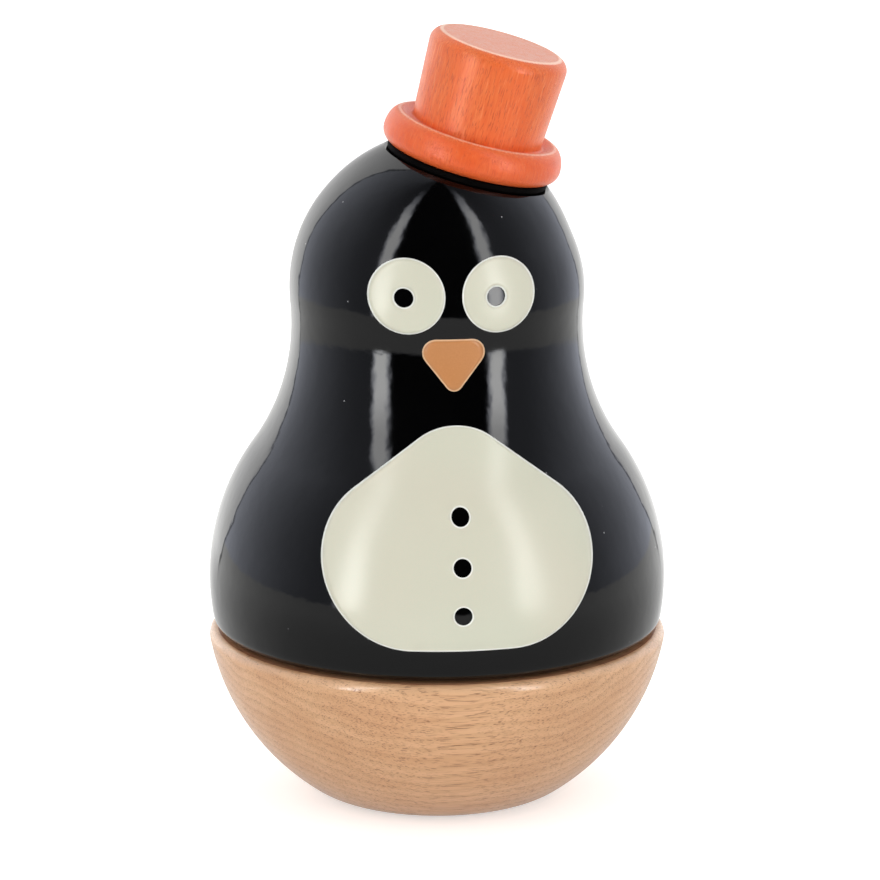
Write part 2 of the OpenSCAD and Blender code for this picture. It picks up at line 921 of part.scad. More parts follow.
module comb() {
    function tooth_x(i) = tune_x0 + 0.06 + (i + 0.5) * note_pitch;
    function tooth_root(i) = root_y + tooth_taper * i / (notes - 1);
    half = 0.36 * note_pitch;
    color("#c3c8cd")
        difference() {
            translate([0, 0, comb_z])
                linear_extrude(comb_t)
                    polygon(concat(
                        [[comb_x1, root_y + tooth_taper], [comb_x1, back_y], [comb_x0, back_y], [comb_x0, root_y]],
                        [for (i = [0 : notes - 1]) each [
                            [tooth_x(i) - half, tooth_root(i)], [tooth_x(i) - half, tip_y],
                            [tooth_x(i) + half, tip_y], [tooth_x(i) + half, tooth_root(i)]
                        ]]
                    ));
            comb_screw_spots()
                translate([0, 0, comb_z - 1])
                    cylinder(r = small_screw[0] + fit_gap, h = comb_t + 2);
        }
}

module comb_screws() {
    color("#b9bcc0")
        comb_screw_spots()
            translate([0, 0, comb_z + comb_t])
                screw(small_screw, comb_t + 4.4);
}

// Bearing bracket: an upright across the axle and a foot that runs back from it
module bearing(x, foot_from) {
    half = 3.4;
    color("#b5a06a")
        difference() {
            union() {
                across_x(x, 0, bed_top)
                    linear_extrude(bearing_t)
                        union() {
                            translate([-half, 0])
                                square([2 * half, axis_z - bed_top]);
                            translate([0, axis_z - bed_top])
                                circle(half);
                        }
                translate([foot_from, -half, bed_top])
                    cube([foot_len, 2 * half, 1.2]);
            }
            across_x(x - 1, 0, axis_z)
                cylinder(r = axle_r + run_gap, h = bearing_t + 2);
            bearing_screw_spots()
                translate([0, 0, bed_top - 1])
                    cylinder(r = small_screw[0] + fit_gap, h = 4);
        }
}

module inner_bearing() {
    bearing(inner_x, inner_x);
}

module outer_bearing() {
    bearing(outer_x, outer_x + bearing_t - foot_len);
}

module bearing_screws() {
    color("#b9bcc0")
        bearing_screw_spots()
            translate([0, 0, bed_top + 1.2])
                screw(small_screw, bed_t + 1);
}

// Governor frame: a foot, two uprights for the shaft and a top arm for the worm
module governor_frame() {
    low_y = gov_y - 2.9;
    color("#b5a06a")
        difference() {
            union() {
                translate([worm_x - frame_half, low_y, bed_top])
                    cube([2 * frame_half, worm_y + 1.4 - low_y, frame_t]);
                for (x = [worm_x - frame_half, worm_x + frame_half - frame_t]) {
                    translate([x, low_y, bed_top])
                        cube([frame_t, 5.6, axis_z + 2.6 - bed_top]);
                    translate([x, low_y, bed_top])
                        cube([frame_t, 2.6, frame_top - bed_top]);
                }
                translate([worm_x - frame_half, low_y, frame_top - frame_t])
                    cube([2 * frame_half, worm_y + 1.4 - low_y, frame_t]);
            }
            across_x(worm_x - 10, gov_y, axis_z)
                cylinder(r = gov_r + run_gap, h = 20);
            translate([worm_x, worm_y, bed_top - 1])
                cylinder(r = worm_shaft_r + run_gap, h = frame_top);
            governor_screw_spots()
                translate([0, 0, bed_top - 1])
                    cylinder(r = small_screw[0] + fit_gap, h = 4);
        }
}

module governor_screws() {
    color("#b9bcc0")
        governor_screw_spots()
            translate([0, 0, bed_top + frame_t])
                screw(small_screw, bed_t + 0.6);
}

// Cylinder group

module tune_cylinder() {
    color("#cfa84e")
        across_x(tune_x0, 0, axis_z)
            difference() {
                cylinder(r = tune_r, h = tune_len);
                translate([0, 0, -1])
                    cylinder(r = tune_r - tune_wall, h = tune_len + 2);
            }
}

module cylinder_caps() {
    color("#b5913d")
        for (x = [tune_x0, tune_x1 - 1.4])
            across_x(x, 0, axis_z)
                difference() {
                    cylinder(r = tune_r - tune_wall - 0.02, h = 1.4);
                    translate([0, 0, -1])
                        cylinder(r = axle_r + 0.02, h = 4);
                }
}

module tune_pins() {
    color("#d8dadc")
        for (i = [0 : notes - 1], k = [0 : pins_per_note - 1])
            across_x(tune_x0 + 0.06 + (i + 0.5) * note_pitch, 0, axis_z)
                rotate([0, 0, i * 137 + k * 360 / pins_per_note + 23 * ((i * k) % 4)])
                    rotate([0, 90, 0])
                        translate([0, 0, tune_r - tune_wall / 2])
                            cylinder(r = pin_r, h = pin_h + tune_wall / 2, $fn = 16);
}

module cylinder_axle() {
    color("#c9ccd0")
        across_x(crown_r - crown_face / 2, 0, axis_z)
            cylinder(r = axle_r, h = train_x + train_w + 0.3 - crown_r + crown_face / 2);
}

module drive_pinion() {
    color("#c9a24a")
        across_x(crown_r - crown_face / 2, 0, axis_z)
            difference() {
                linear_extrude(crown_face)
                    polygon(gear(pinion_n, drive_m, 0.42, 0.8, 1.15, 0.5, 1.3, -90));
                translate([0, 0, -1])
                    cylinder(r = axle_r + 0.02, h = crown_face + 2);
            }
}

module cylinder_wheel() {
    color("#c9a24a")
        across_x(train_x, 0, axis_z)
            difference() {
                linear_extrude(train_w)
                    polygon(gear(train_n, train_m, 0.4, 0.75, 1.15, 0.5, 1.3, 0));
                translate([0, 0, -1])
                    cylinder(r = axle_r + 0.02, h = train_w + 2);
            }
}

// Governor shaft group

module governor_shaft() {
    color("#c9ccd0")
        across_x(gov_x0, gov_y, axis_z)
            cylinder(r = gov_r, h = gov_x1 + 0.2 - gov_x0);
}

module governor_pinion() {
    color("#c9a24a")
        across_x(train_x, gov_y, axis_z)
            difference() {
                linear_extrude(train_w)
                    polygon(gear(gov_n, train_m, 0.4, 0.75, 1.15, 0.5, 1.1, 180 + 180 / gov_n));
                translate([0, 0, -1])
                    cylinder(r = gov_r + 0.02, h = train_w + 2);
            }
}

module worm_wheel() {
    color("#ded8c6")
        across_x(worm_x - worm_w / 2, gov_y, axis_z)
            difference() {
                linear_extrude(worm_w)
                    polygon(gear(worm_n, worm_m, 0.3, 0.65, 1.3, 0.45, 1.4, 0));
                translate([0, 0, -1])
                    cylinder(r = gov_r + 0.02, h = worm_w + 2);
            }
}

// Worm group

module governor_worm() {
    turns = 4;
    len = turns * worm_pitch;
    color("#ded8c6")
        translate([worm_x, worm_y, 0]) {
            translate([0, 0, axis_z - len / 2])
                rotate([0, 0, -90 + 180])
                    rotate([0, 0, 180 * turns])
                        linear_extrude(len, twist = -360 * turns, slices = 12 * turns, $fn = 12)
                            translate([worm_e, 0])
                                circle(worm_r - 0.03, $fn = 12);
            translate([0, 0, bed_top + 0.2])
                cylinder(r = worm_shaft_r, h = frame_top - bed_top - 0.4);
        }
}

module air_vane() {
    color("#8c4a3a")
        translate([worm_x, worm_y, vane_z])
            difference() {
                union() {
                    cylinder(r = 1.2, h = vane_h);
                    translate([-vane_r, -0.2, 0])
                        cube([2 * vane_r, 0.4, vane_h]);
                }
                translate([0, 0, -1])
                    cylinder(r = worm_shaft_r + 0.02, h = vane_h + 2);
            }
}

base_bowl();
ballast_weight();
ballast_screws();
foot_pad();
tee_nut();
slide_washer();
winding_arbor();
great_wheel();
ratchet_wheel();
ratchet_click();
click_rivet();
body_shell();
hat();
hat_disc();
hat_dowel();
eye_prints();
beak_print();
belly_print();
floor_board();
board_screws();
arbor_bush();
bedplate();
bedplate_screws();
spring_drum();
drum_lid();
drum_rivets();
mainspring();
drum_bridge();
bridge_pillars();
bridge_screws();
comb();
comb_screws();
inner_bearing();
outer_bearing();
bearing_screws();
governor_frame();
governor_screws();
tune_cylinder();
cylinder_caps();
tune_pins();
cylinder_axle();
drive_pinion();
cylinder_wheel();
governor_shaft();
governor_pinion();
worm_wheel();
governor_worm();
air_vane();
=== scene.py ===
import json
import math

import bmesh
import bpy
import numpy as np
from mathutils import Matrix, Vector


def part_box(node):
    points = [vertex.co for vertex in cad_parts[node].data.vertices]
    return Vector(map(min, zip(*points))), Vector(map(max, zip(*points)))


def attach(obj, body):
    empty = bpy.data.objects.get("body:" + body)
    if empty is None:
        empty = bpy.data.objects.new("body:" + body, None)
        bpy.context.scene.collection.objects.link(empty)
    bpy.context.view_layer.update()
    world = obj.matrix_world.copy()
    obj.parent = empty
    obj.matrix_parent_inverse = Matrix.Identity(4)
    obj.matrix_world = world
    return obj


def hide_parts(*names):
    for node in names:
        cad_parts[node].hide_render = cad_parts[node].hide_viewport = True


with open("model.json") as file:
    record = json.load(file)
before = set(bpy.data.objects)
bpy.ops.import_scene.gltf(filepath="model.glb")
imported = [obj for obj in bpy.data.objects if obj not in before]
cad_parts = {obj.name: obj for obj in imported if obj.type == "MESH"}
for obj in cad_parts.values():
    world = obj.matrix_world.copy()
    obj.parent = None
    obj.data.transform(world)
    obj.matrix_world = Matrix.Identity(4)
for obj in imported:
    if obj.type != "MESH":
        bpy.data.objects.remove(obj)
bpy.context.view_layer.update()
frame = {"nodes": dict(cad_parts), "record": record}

# Driving sizes of the turned wood and the printed film, in metres
MM = 0.001
HEAD_R = 28.8 * MM
HEAD_RISE = 57.8 * MM
BELLY_R = 45 * MM
BELLY_RISE = 10.1 * MM
NECK_R = 42.5 * MM
HEM_R = 2.8 * MM
HEM_DROP = 0.3 * MM
THROAT_R = 18 * MM
THROAT_CONE = 15 * MM
THROAT_LIFT = 2 * MM
LEDGE_W = 4.4 * MM
CHAMBER_ROOF = 1.8 * MM
BOWL_SWELL = 0.8 * MM
FOOT_CUT = 6.1 * MM
HEEL_R = 12 * MM
RIM_ROUND = 1.8 * MM
LIP_W = 5 * MM
LIP_START = 80
FOOT_W = 3.4 * MM
PAD_LEDGE = 1.2 * MM
FIT_GAP = 0.1 * MM
END_GAP = 0.4 * MM
NUT_BARREL_R = 3.2 * MM
EDGE_BREAK = 0.35 * MM
HAT_TILT = 15.5
HAT_SLIDE = 0.8 * MM
HAT_HEADING = -15
HAT_CUT = 4.25 * MM
SHOULDER = 0.8 * MM
SHOULDER_START = 30
SHOULDER_POWER = 1.5
DISC_T = 1.4 * MM
DISC_INSET = 1.7 * MM
DISC_ROUND = 0.5 * MM
BRIM_R = 17.7 * MM
BRIM_T = 6.7 * MM
BRIM_LOW = 2.65 * MM
BRIM_CREST_R = 15.2 * MM
BRIM_DISH = 0.8 * MM
BRIM_CREST_START = 55
HAT_R = 12.85 * MM
HAT_FLARE = 0.8 * MM
HAT_RISE = 17.2 * MM
HAT_ROUND = 2.5 * MM
HAT_FILLET = 0.5 * MM
HAT_CREST_START = 48
CREST = 0.5 * MM
DOWEL_R = 4 * MM
DOWEL_LEN = 24 * MM
DOWEL_PLAY = 0.6 * MM
PRINT_GAP = 0.06 * MM
PRINT_T = 0.14 * MM
EYE_ANGLE = 17.8
EYE_RISE = 3.9 * MM
EYE_R = 7.2 * MM
PUPIL_R = 1.8 * MM
PUPIL_SHIFT = np.array([-0.6, -0.2]) * MM
BEAK_DROP = 4.2 * MM
BEAK_W = 12 * MM
BEAK_H = 10 * MM
BEAK_SIDE_R = 2.6 * MM
BEAK_TIP_R = 1.8 * MM
BIB_W = 52 * MM
BIB_RISE = 6.4 * MM
BIB_H = 40.5 * MM
BIB_SIDE = 0.31
BIB_TOP = 0.23
BUTTON_R = 1.7 * MM
BUTTON_RISE = 6.8 * MM
BUTTON_STEP = 9 * MM

# Fineness of the meshes
COLUMNS = 320
ARC_STEP = 0.6 * MM
FILM_RAYS = 300
CUT_POINTS = 81
TINY = 1e-9
MERGE = 1e-7
SHARP = math.radians(38)

# Heights and centres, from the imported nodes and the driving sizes
rim_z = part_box("base_bowl")[1].z
seam_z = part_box("body_shell")[0].z
board_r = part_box("floor_board")[1].x
bed_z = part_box("floor_board")[1].z
belly_z = rim_z + BELLY_RISE
head_z = belly_z + HEAD_RISE
neck_drop = ((HEAD_R + NECK_R) ** 2 - (BELLY_R + NECK_R) ** 2 + HEAD_RISE ** 2) / (2 * HEAD_RISE)
neck_z = head_z - neck_drop
neck_x = math.sqrt((HEAD_R + NECK_R) ** 2 - neck_drop ** 2)
hem_z = seam_z - HEM_DROP + HEM_R
hem_x = math.sqrt((BELLY_R - HEM_R) ** 2 - (belly_z - hem_z) ** 2)
hat_seat = HEAD_R - HAT_CUT


def arc(centre, radius, start, end):
    """Points (radius, height) on a circle's arc from angle start to end, in degrees, about ARC_STEP apart."""
    count = max(8, math.ceil(abs(math.radians(end - start)) * radius / ARC_STEP))
    angle = np.radians(np.linspace(start, end, count + 1))
    return np.column_stack([centre[0] + radius * np.cos(angle), centre[1] + radius * np.sin(angle)])


def bow(centre, wide, high, start, end):
    """Points (radius, height) on an ellipse's arc, which reaches wide and high from its centre."""
    return arc((0, 0), high, start, end) * [wide / high, 1] + centre


def line(*points):
    """Corner points (radius, height) joined by straight stretches."""
    return np.array(points, float)


def turned(profile, lean=0.0):
    """Grid of a turned surface: each (radius, height) of the profile goes round the turning axis on a circle.

    Lean, in degrees, one value or one for each circle, tips the circle about the head's centre to the
    hat's side. A circle that leans as far as the hat is slid back in its own plane by HAT_SLIDE, and one
    that leans less by its share of that.
    """
    radius = profile[:, 0, None]
    height = profile[:, 1, None] - head_z
    tip = np.radians(np.broadcast_to(lean, len(profile)))[:, None]
    heading = math.radians(HAT_HEADING)
    turn = np.linspace(0, 2 * np.pi, COLUMNS, endpoint=False) - heading
    ahead = radius * np.cos(turn) - HAT_SLIDE * tip / math.radians(HAT_TILT)
    aside = radius * np.sin(turn)
    forward = ahead * np.cos(tip) + height * np.sin(tip)
    up = height * np.cos(tip) - ahead * np.sin(tip)
    x = forward * math.cos(heading) - aside * math.sin(heading)
    y = forward * math.sin(heading) + aside * math.cos(heading)
    return np.stack([x, y, up + head_z], axis=-1)


def ring_faces(rows, columns, loop=False):
    """Quads over a grid whose columns close into rings, and whose rows close too where loop is true."""
    row = np.arange(rows if loop else rows - 1)[:, None]
    column = np.arange(columns)[None, :]
    below = row * columns
    above = (row + 1) % rows * columns
    beside = (column + 1) % columns
    return np.stack([below + column, below + beside, above + beside, above + column], axis=-1).reshape(-1, 4)


def mesh_object(name, points, faces, finish=0, **fields):
    """Object at the origin from arrays of points and faces, with the points of poles and seams merged.

    Finish is the number of each face's finish. Each field is a value for every point, kept as an
    attribute.
    """
    mesh = bpy.data.meshes.new(name)
    mesh.from_pydata(points.tolist(), [], faces.tolist())
    mesh.polygons.foreach_set("material_index", np.broadcast_to(finish, len(faces)).astype(np.int32))
    for label, values in fields.items():
        mesh.attributes.new(label, "FLOAT", "POINT").data.foreach_set("value", values.astype(np.float32))
    shape = bmesh.new()
    shape.from_mesh(mesh)
    bmesh.ops.remove_doubles(shape, verts=shape.verts, dist=MERGE)
    shape.to_mesh(mesh)
    shape.free()
    mesh.shade_smooth()
    mesh.set_sharp_from_angle(angle=SHARP)
    piece = bpy.data.objects.new(name, mesh)
    bpy.context.scene.collection.objects.link(piece)
    return piece


def turned_piece(name, grid, loop=False, raw_rows=0, wear=0.0):
    """Object made of the quads over a turned grid.

    The first raw_rows rows take the second finish. Wear and painted light are one value for each circle of
    the grid.
    """
    rows, columns = grid.shape[:2]
    faces = ring_faces(rows, columns, loop)
    finish = np.arange(len(faces)) < raw_rows * columns
    field = np.repeat(np.broadcast_to(wear, rows), columns)
    return mesh_object(name, grid.reshape(-1, 3), faces, finish, wear=field)


def wear_and_painted_light_profile(*stretches):
    """Profile of several stretches, and its wear and painted light: a half wave over each, as high as its
    number says.
    """
    wear = []
    for points, rubbed_and_painted_light in stretches:
        share = np.linspace(0, 1, len(points))
        wear.append(np.sin(np.pi * share) * rubbed_and_painted_light)
    return np.vstack([points for points, rubbed_and_painted_light in stretches]), np.concatenate(wear)


def fit_out(piece, body, node, slot, *finishes):
    """Gives a piece its finishes, hides the node that it stands for and sets the piece on the body that it
    rides on; its slot is not used.
    """
    for finish in finishes:
        piece.data.materials.append(finish)
    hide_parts(node)
    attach(piece, body)


# Turned pieces


def lacquered_body():
    """The penguin: bored out from below, with hem, belly, hollow neck and head as tangent arcs.

    On the head the circles lean more and more towards the hat, so that the last one is the edge of its
    flat. Above SHOULDER_START degrees they widen from the ball to a fuller shoulder.
    """
    chamber_r = board_r - LEDGE_W
    chamber_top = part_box("governor_frame")[1].z + CHAMBER_ROOF
    throat_top = head_z + THROAT_LIFT
    pocket_r = board_r + FIT_GAP
    inside = line(
        (0, throat_top), (THROAT_R, throat_top), (THROAT_R, chamber_top + THROAT_CONE),
        (chamber_r, chamber_top), (chamber_r, bed_z), (pocket_r, bed_z),
        (pocket_r, seam_z + EDGE_BREAK), (pocket_r + EDGE_BREAK, seam_z),
    )
    hem_end = math.degrees(math.atan2(hem_z - belly_z, hem_x))
    belly_end = math.degrees(math.atan2(neck_z - belly_z, neck_x))
    head_start = math.degrees(math.atan2(neck_drop, neck_x))
    outside = np.vstack([
        arc((hem_x, hem_z), HEM_R, -90, hem_end),
        arc((0, belly_z), BELLY_R, hem_end, belly_end)[1:],
        arc((neck_x, neck_z), NECK_R, 180 + belly_end, 180 - head_start)[1:],
    ])
    flat_edge = math.degrees(math.asin(hat_seat / (HEAD_R + SHOULDER)))
    ball = arc((0, 0), HEAD_R, -head_start, flat_edge)[1:]
    above = np.linspace(-head_start, flat_edge, len(ball) + 1)[1:] - SHOULDER_START
    fullness = np.clip(above / (flat_edge - SHOULDER_START), 0, 1) ** SHOULDER_POWER
    head = ball * (1 + fullness * SHOULDER / HEAD_R)[:, None] + [0, head_z]
    share = np.linspace(0, 1, len(head))
    head_lean = HAT_TILT * share * share * (3 - 2 * share)
    hole_r = DOWEL_R + DOWEL_PLAY
    hole_z = head_z + hat_seat - DOWEL_LEN / 2 - 2 * DOWEL_PLAY
    seat_z = head_z + hat_seat
    seat = line((hole_r, seat_z), (hole_r, hole_z), (0, hole_z))
    grid = np.vstack([turned(inside), turned(outside), turned(head, head_lean), turned(seat, HAT_TILT)])
    piece = turned_piece("lacquered_body", grid, raw_rows=len(inside) - 1)
    fit_out(piece, "penguin", "body_shell", "black_lacquer", FINISHES["black_lacquer"], RAW_BEECH)


def black_disc():
    """The dull black disc between head and hat, with softly rounded edges."""
    base_z = head_z + hat_seat
    top_z = base_z + DISC_T
    edge_x = BRIM_R - DISC_INSET - DISC_ROUND
    hole_r = DOWEL_R + DOWEL_PLAY
    profile = np.vstack([
        line((hole_r, top_z), (hole_r, base_z)),
        arc((edge_x, base_z + DISC_ROUND), DISC_ROUND, -90, 0),
        arc((edge_x, top_z - DISC_ROUND), DISC_ROUND, 0, 90),
    ])
    piece = turned_piece("black_disc", turned(profile, HAT_TILT), loop=True)
    fit_out(piece, "penguin", "hat_disc", "black_lacquer", DULL_BLACK)


def stained_hat():
    """The hat: a thick bulging brim dished towards the tall part, which widens upwards, and soft edges.

    The crests of the brim and of the tall part are rubbed pale, with a painted highlight along them.
    """
    low_z = head_z + hat_seat + DISC_T
    side_z = low_z + BRIM_LOW
    high_z = low_z + BRIM_T
    hole_r = DOWEL_R + DOWEL_PLAY
    hole_z = head_z + hat_seat + DOWEL_LEN / 2 + 2 * DOWEL_PLAY
    bulge = BRIM_R - BRIM_CREST_R
    middle = (BRIM_CREST_R, side_z)
    top_z = high_z + HAT_RISE
    top_x = HAT_R + HAT_FLARE - HAT_ROUND
    top_round = (top_x, top_z - HAT_ROUND)
    slope = math.degrees(math.atan2(HAT_FLARE, HAT_RISE))
    fall = BRIM_DISH / (BRIM_CREST_R - HAT_R)
    dish = math.degrees(math.atan(fall))
    crest_end = 90 + math.degrees(math.atan(fall * bulge / (high_z - side_z)))
    corner = (HAT_R + HAT_FILLET, high_z - BRIM_DISH + HAT_FILLET)
    hole = line((0, hole_z), (hole_r, hole_z), (hole_r, low_z + EDGE_BREAK), (hole_r + EDGE_BREAK, low_z))
    top_crest = np.vstack([arc(top_round, HAT_ROUND, HAT_CREST_START, 90), line((top_x - CREST, top_z))])
    # Rubbed wear along the stretches; on the crests it also paints a highlight.
    profile, wear = wear_and_painted_light_profile(
        (hole, 0.0),
        (bow(middle, bulge, BRIM_LOW, -90, 0), 0.4),
        (bow(middle, bulge, high_z - side_z, 0, BRIM_CREST_START)[1:], 0.3),
        (bow(middle, bulge, high_z - side_z, BRIM_CREST_START, crest_end)[1:], 0.85),
        (arc(corner, HAT_FILLET, 270 + dish, 180 - slope), 0.0),
        (arc(top_round, HAT_ROUND, -slope, HAT_CREST_START), 0.3),
        (top_crest[1:], 1.0),
        (line((0, top_z)), 0.0),
    )
    piece = turned_piece("stained_hat", turned(profile, HAT_TILT), raw_rows=len(hole) - 1, wear=wear)
    fit_out(piece, "penguin", "hat", "orange_stain", FINISHES["orange_stain"], RAW_BEECH)


def turned_bowl():
    """The base: a ball cut by the table, with a rounded heel and rim, a felt recess and a stepped bore.

    Its rim is rubbed pale outside. Its lip under the penguin, where the value is below zero, is painted dark
    red as shade in the gap.
    """
    bowl_r = BELLY_R + BOWL_SWELL
    bowl_z = bowl_r - FOOT_CUT
    edge_z = rim_z - RIM_ROUND
    edge_x = math.sqrt((bowl_r - RIM_ROUND) ** 2 - (bowl_z - edge_z) ** 2)
    foot_x = math.sqrt((bowl_r - HEEL_R) ** 2 - (bowl_z - HEEL_R) ** 2)
    heel_end = math.degrees(math.atan2(HEEL_R - bowl_z, foot_x))
    rim_start = math.degrees(math.atan2(edge_z - bowl_z, edge_x))
    recess_r = foot_x - FOOT_W + FIT_GAP
    recess_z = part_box("foot_pad")[1].z
    pocket_r = recess_r - PAD_LEDGE
    pocket_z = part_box("ballast_weight")[1].z
    nut_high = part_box("tee_nut")[1]
    bore_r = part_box("winding_arbor")[1].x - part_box("winding_arbor")[0].x
    barrel_r = NUT_BARREL_R + FIT_GAP
    nut_seat = nut_high.z + END_GAP
    inside = line(
        (bore_r, rim_z), (bore_r, nut_seat), (barrel_r, nut_seat),
        (barrel_r, pocket_z), (pocket_r, pocket_z), (pocket_r, recess_z), (recess_r, recess_z),
        (recess_r, EDGE_BREAK), (recess_r + EDGE_BREAK, 0),
    )
    lip = np.vstack([arc((edge_x, edge_z), RIM_ROUND, LIP_START, 90), line((edge_x - LIP_W, rim_z))])
    profile, wear = wear_and_painted_light_profile(
        (inside, 0.0),
        (arc((foot_x, HEEL_R), HEEL_R, -90, heel_end), 0.0),
        (arc((0, bowl_z), bowl_r, heel_end, rim_start)[1:], 0.0),
        (arc((edge_x, edge_z), RIM_ROUND, rim_start, LIP_START)[1:], 1.0),
        # Painted shade: the lip in the gap under the penguin is painted dark red.
        (lip[1:], -1.0),
    )
    piece = turned_piece("turned_bowl", turned(profile), True, len(inside) - 1, wear)
    fit_out(piece, "base", "base_bowl", "beech", FINISHES["beech"], RAW_BEECH)


# Printed films


def skin_radius(z, skin):
    """Radius of the penguin's outline at height z, grown by skin: belly ball, hollow neck, head ball."""
    neck_top = head_z - (HEAD_R + skin) * neck_drop / (HEAD_R + NECK_R)
    neck_low = belly_z + (BELLY_R + skin) * (neck_z - belly_z) / (BELLY_R + NECK_R)

    def bulge(radius, centre):
        return np.sqrt(np.maximum(radius ** 2 - (z - centre) ** 2, 0))

    belly = bulge(BELLY_R + skin, belly_z)
    neck = neck_x - bulge(NECK_R - skin, neck_z)
    head = bulge(HEAD_R + skin, head_z)
    return np.where(z > neck_top, head, np.where(z > neck_low, neck, belly))


def edges(outline):
    """Outward normals of a convex outline's edges, and the distance of each edge's line from the origin."""
    run = np.roll(outline, -1, axis=0) - outline
    normal = np.column_stack([run[:, 1], -run[:, 0]]) / np.linalg.norm(run, axis=1)[:, None]
    return normal, (normal * outline).sum(axis=1)


def reach(normals, offsets, origin, ways):
    """Distance from origin along each way to the nearest of the edges' lines ahead of it."""
    closing = ways @ normals.T
    room = offsets - normals @ origin
    ahead = np.where(closing > TINY, room / np.maximum(closing, TINY), np.inf)
    return ahead.min(axis=1)


def round_triangle(half, low, low_r, high, high_r):
    """Convex outline round two circles side by side and one above them, joined by their tangents."""
    span = math.hypot(half, high - low)
    tangent = math.degrees(math.atan2(high - low, -half) - math.acos((low_r - high_r) / span))
    return np.vstack([
        arc((half, low), low_r, -90, tangent),
        arc((0, high), high_r, tangent, 180 - tangent),
        arc((-half, low), low_r, 180 - tangent, 270),
    ])


def film_cell(outline, centre, hole, cuts=()):
    """Grid of front-view points that fills a convex outline, or its slice between cuts, round a hole.

    Each ray from the centre is shared out evenly between the hole's rim and the nearest edge. The rays
    to a level cut end at points that the two slices beside it share.
    """
    normals, offsets = edges(outline)
    turn = np.linspace(-np.pi, np.pi, FILM_RAYS, endpoint=False)
    ways = np.column_stack([np.cos(turn), np.sin(turn)])
    limit = reach(normals, offsets, centre, ways)
    for cut in cuts:
        side = math.copysign(1, cut - centre[1])
        middle = np.array([0, cut])
        half = reach(normals, offsets, middle, np.array([[1.0, 0.0]]))[0]
        inside = side * (centre[1] + limit * ways[:, 1] - cut) < 0
        ends = np.linspace(-half, half, CUT_POINTS)
        added = np.column_stack([ends - centre[0], np.full_like(ends, cut - centre[1])])
        length = np.linalg.norm(added, axis=1)
        ways = np.vstack([ways[inside], added / length[:, None]])
        limit = np.concatenate([limit[inside], length])
    order = np.argsort(-np.arctan2(ways[:, 1], ways[:, 0]))
    steps = np.linspace(0, 1, max(4, math.ceil(limit.max() / (2 * ARC_STEP))))[:, None, None]
    radius = hole + (limit[order] - hole)[None, :, None] * steps
    return centre + radius * ways[order][None]


def film(name, node, slot, cells, outlines, holes):
    """Printed film: the cells' grids bent onto the penguin's front, then made as thick as the print.

    The attribute rim holds each point's distance to the nearest edge of the print, in metres.
    """
    flat = np.concatenate([cell.reshape(-1, 2) for cell in cells])
    faces = []
    start = 0
    for cell in cells:
        faces.append(ring_faces(*cell.shape[:2]) + start)
        start += cell.shape[0] * cell.shape[1]
    front = -np.sqrt(skin_radius(flat[:, 1], PRINT_GAP + PRINT_T) ** 2 - flat[:, 0] ** 2)
    inside = []
    for outline in outlines:
        normals, offsets = edges(outline)
        inside.append((offsets - flat @ normals.T).min(axis=1))
    rim = np.max(inside, axis=0)
    for centre, radius in holes:
        rim = np.minimum(rim, np.linalg.norm(flat - centre, axis=1) - radius)
    points = np.column_stack([flat[:, 0], front, flat[:, 1]])
    piece = mesh_object(name, points, np.concatenate(faces), rim=rim)
    wall = piece.modifiers.new("thickness", "SOLIDIFY")
    wall.thickness = PRINT_T
    wall.offset = -1
    wall.use_even_offset = True
    fit_out(piece, "penguin", node, slot, FINISHES[slot])


def eye_films():
    """Two round eyes, each a disc round an open pupil that shows the lacquer."""
    cells = []
    outlines = []
    holes = []
    for side in (-1, 1):
        middle = np.array([side * HEAD_R * math.sin(math.radians(EYE_ANGLE)), head_z + EYE_RISE])
        outline = arc(middle, EYE_R, 0, 360)[:-1]
        pupil = middle + PUPIL_SHIFT
        cells.append(film_cell(outline, pupil, PUPIL_R))
        outlines.append(outline)
        holes.append((pupil, PUPIL_R))
    film("eye_films", "eye_prints", "cream_print", cells, outlines, holes)


def beak_film():
    """The beak: a rounded triangle that points down."""
    half = BEAK_W / 2 - BEAK_SIDE_R
    shape = round_triangle(half, BEAK_SIDE_R, BEAK_SIDE_R, BEAK_H - BEAK_TIP_R, BEAK_TIP_R)
    outline = (shape * [1, -1])[::-1] + [0, head_z - BEAK_DROP]
    cell = film_cell(outline, outline.mean(axis=0), 0.0)
    film("beak_film", "beak_print", "tan_print", [cell], [outline], [])


def belly_film():
    """The belly patch: a rounded triangle cut level between its buttons, so that each slice has one hole."""
    low = seam_z + BIB_RISE
    side_r = BIB_W * BIB_SIDE
    top_r = BIB_W * BIB_TOP
    outline = round_triangle(BIB_W / 2 - side_r, low + side_r, side_r, low + BIB_H - top_r, top_r)
    heights = low + BUTTON_RISE + BUTTON_STEP * np.arange(3)
    cuts = (heights[1:] + heights[:-1]) / 2
    slices = [cuts[:1], cuts, cuts[1:]]
    cells = []
    holes = []
    for height, limits in zip(heights, slices):
        centre = np.array([0, height])
        cells.append(film_cell(outline, centre, BUTTON_R, limits))
        holes.append((centre, BUTTON_R))
    film("belly_film", "belly_print", "cream_print", cells, [outline], holes)


# Shader nodes


def feed(tree, socket, value):
    """Links a socket to another node's output, or sets it to a plain value."""
    if isinstance(value, bpy.types.NodeSocket):
        tree.links.new(value, socket)
    else:
        socket.default_value = value


def add(tree, kind, inputs=None, **settings):
    """Adds a shader node with its settings, and values or links for its inputs."""
    made = tree.nodes.new("ShaderNode" + kind)
    for key, value in settings.items():
        setattr(made, key, value)
    for key, value in (inputs or {}).items():
        feed(tree, made.inputs[key], value)
    return made


def noise(tree, vector, size, detail=3.0, rough=0.5, warp=0.0):
    """Noise from 0 to 1 whose blobs are about size across."""
    inputs = {"Vector": vector, "Scale": 1 / size, "Detail": detail, "Roughness": rough, "Distortion": warp}
    return add(tree, "TexNoise", inputs).outputs[0]


def calc(tree, operation, *values):
    """Arithmetic on one to three values."""
    return add(tree, "Math", dict(enumerate(values)), operation=operation).outputs[0]


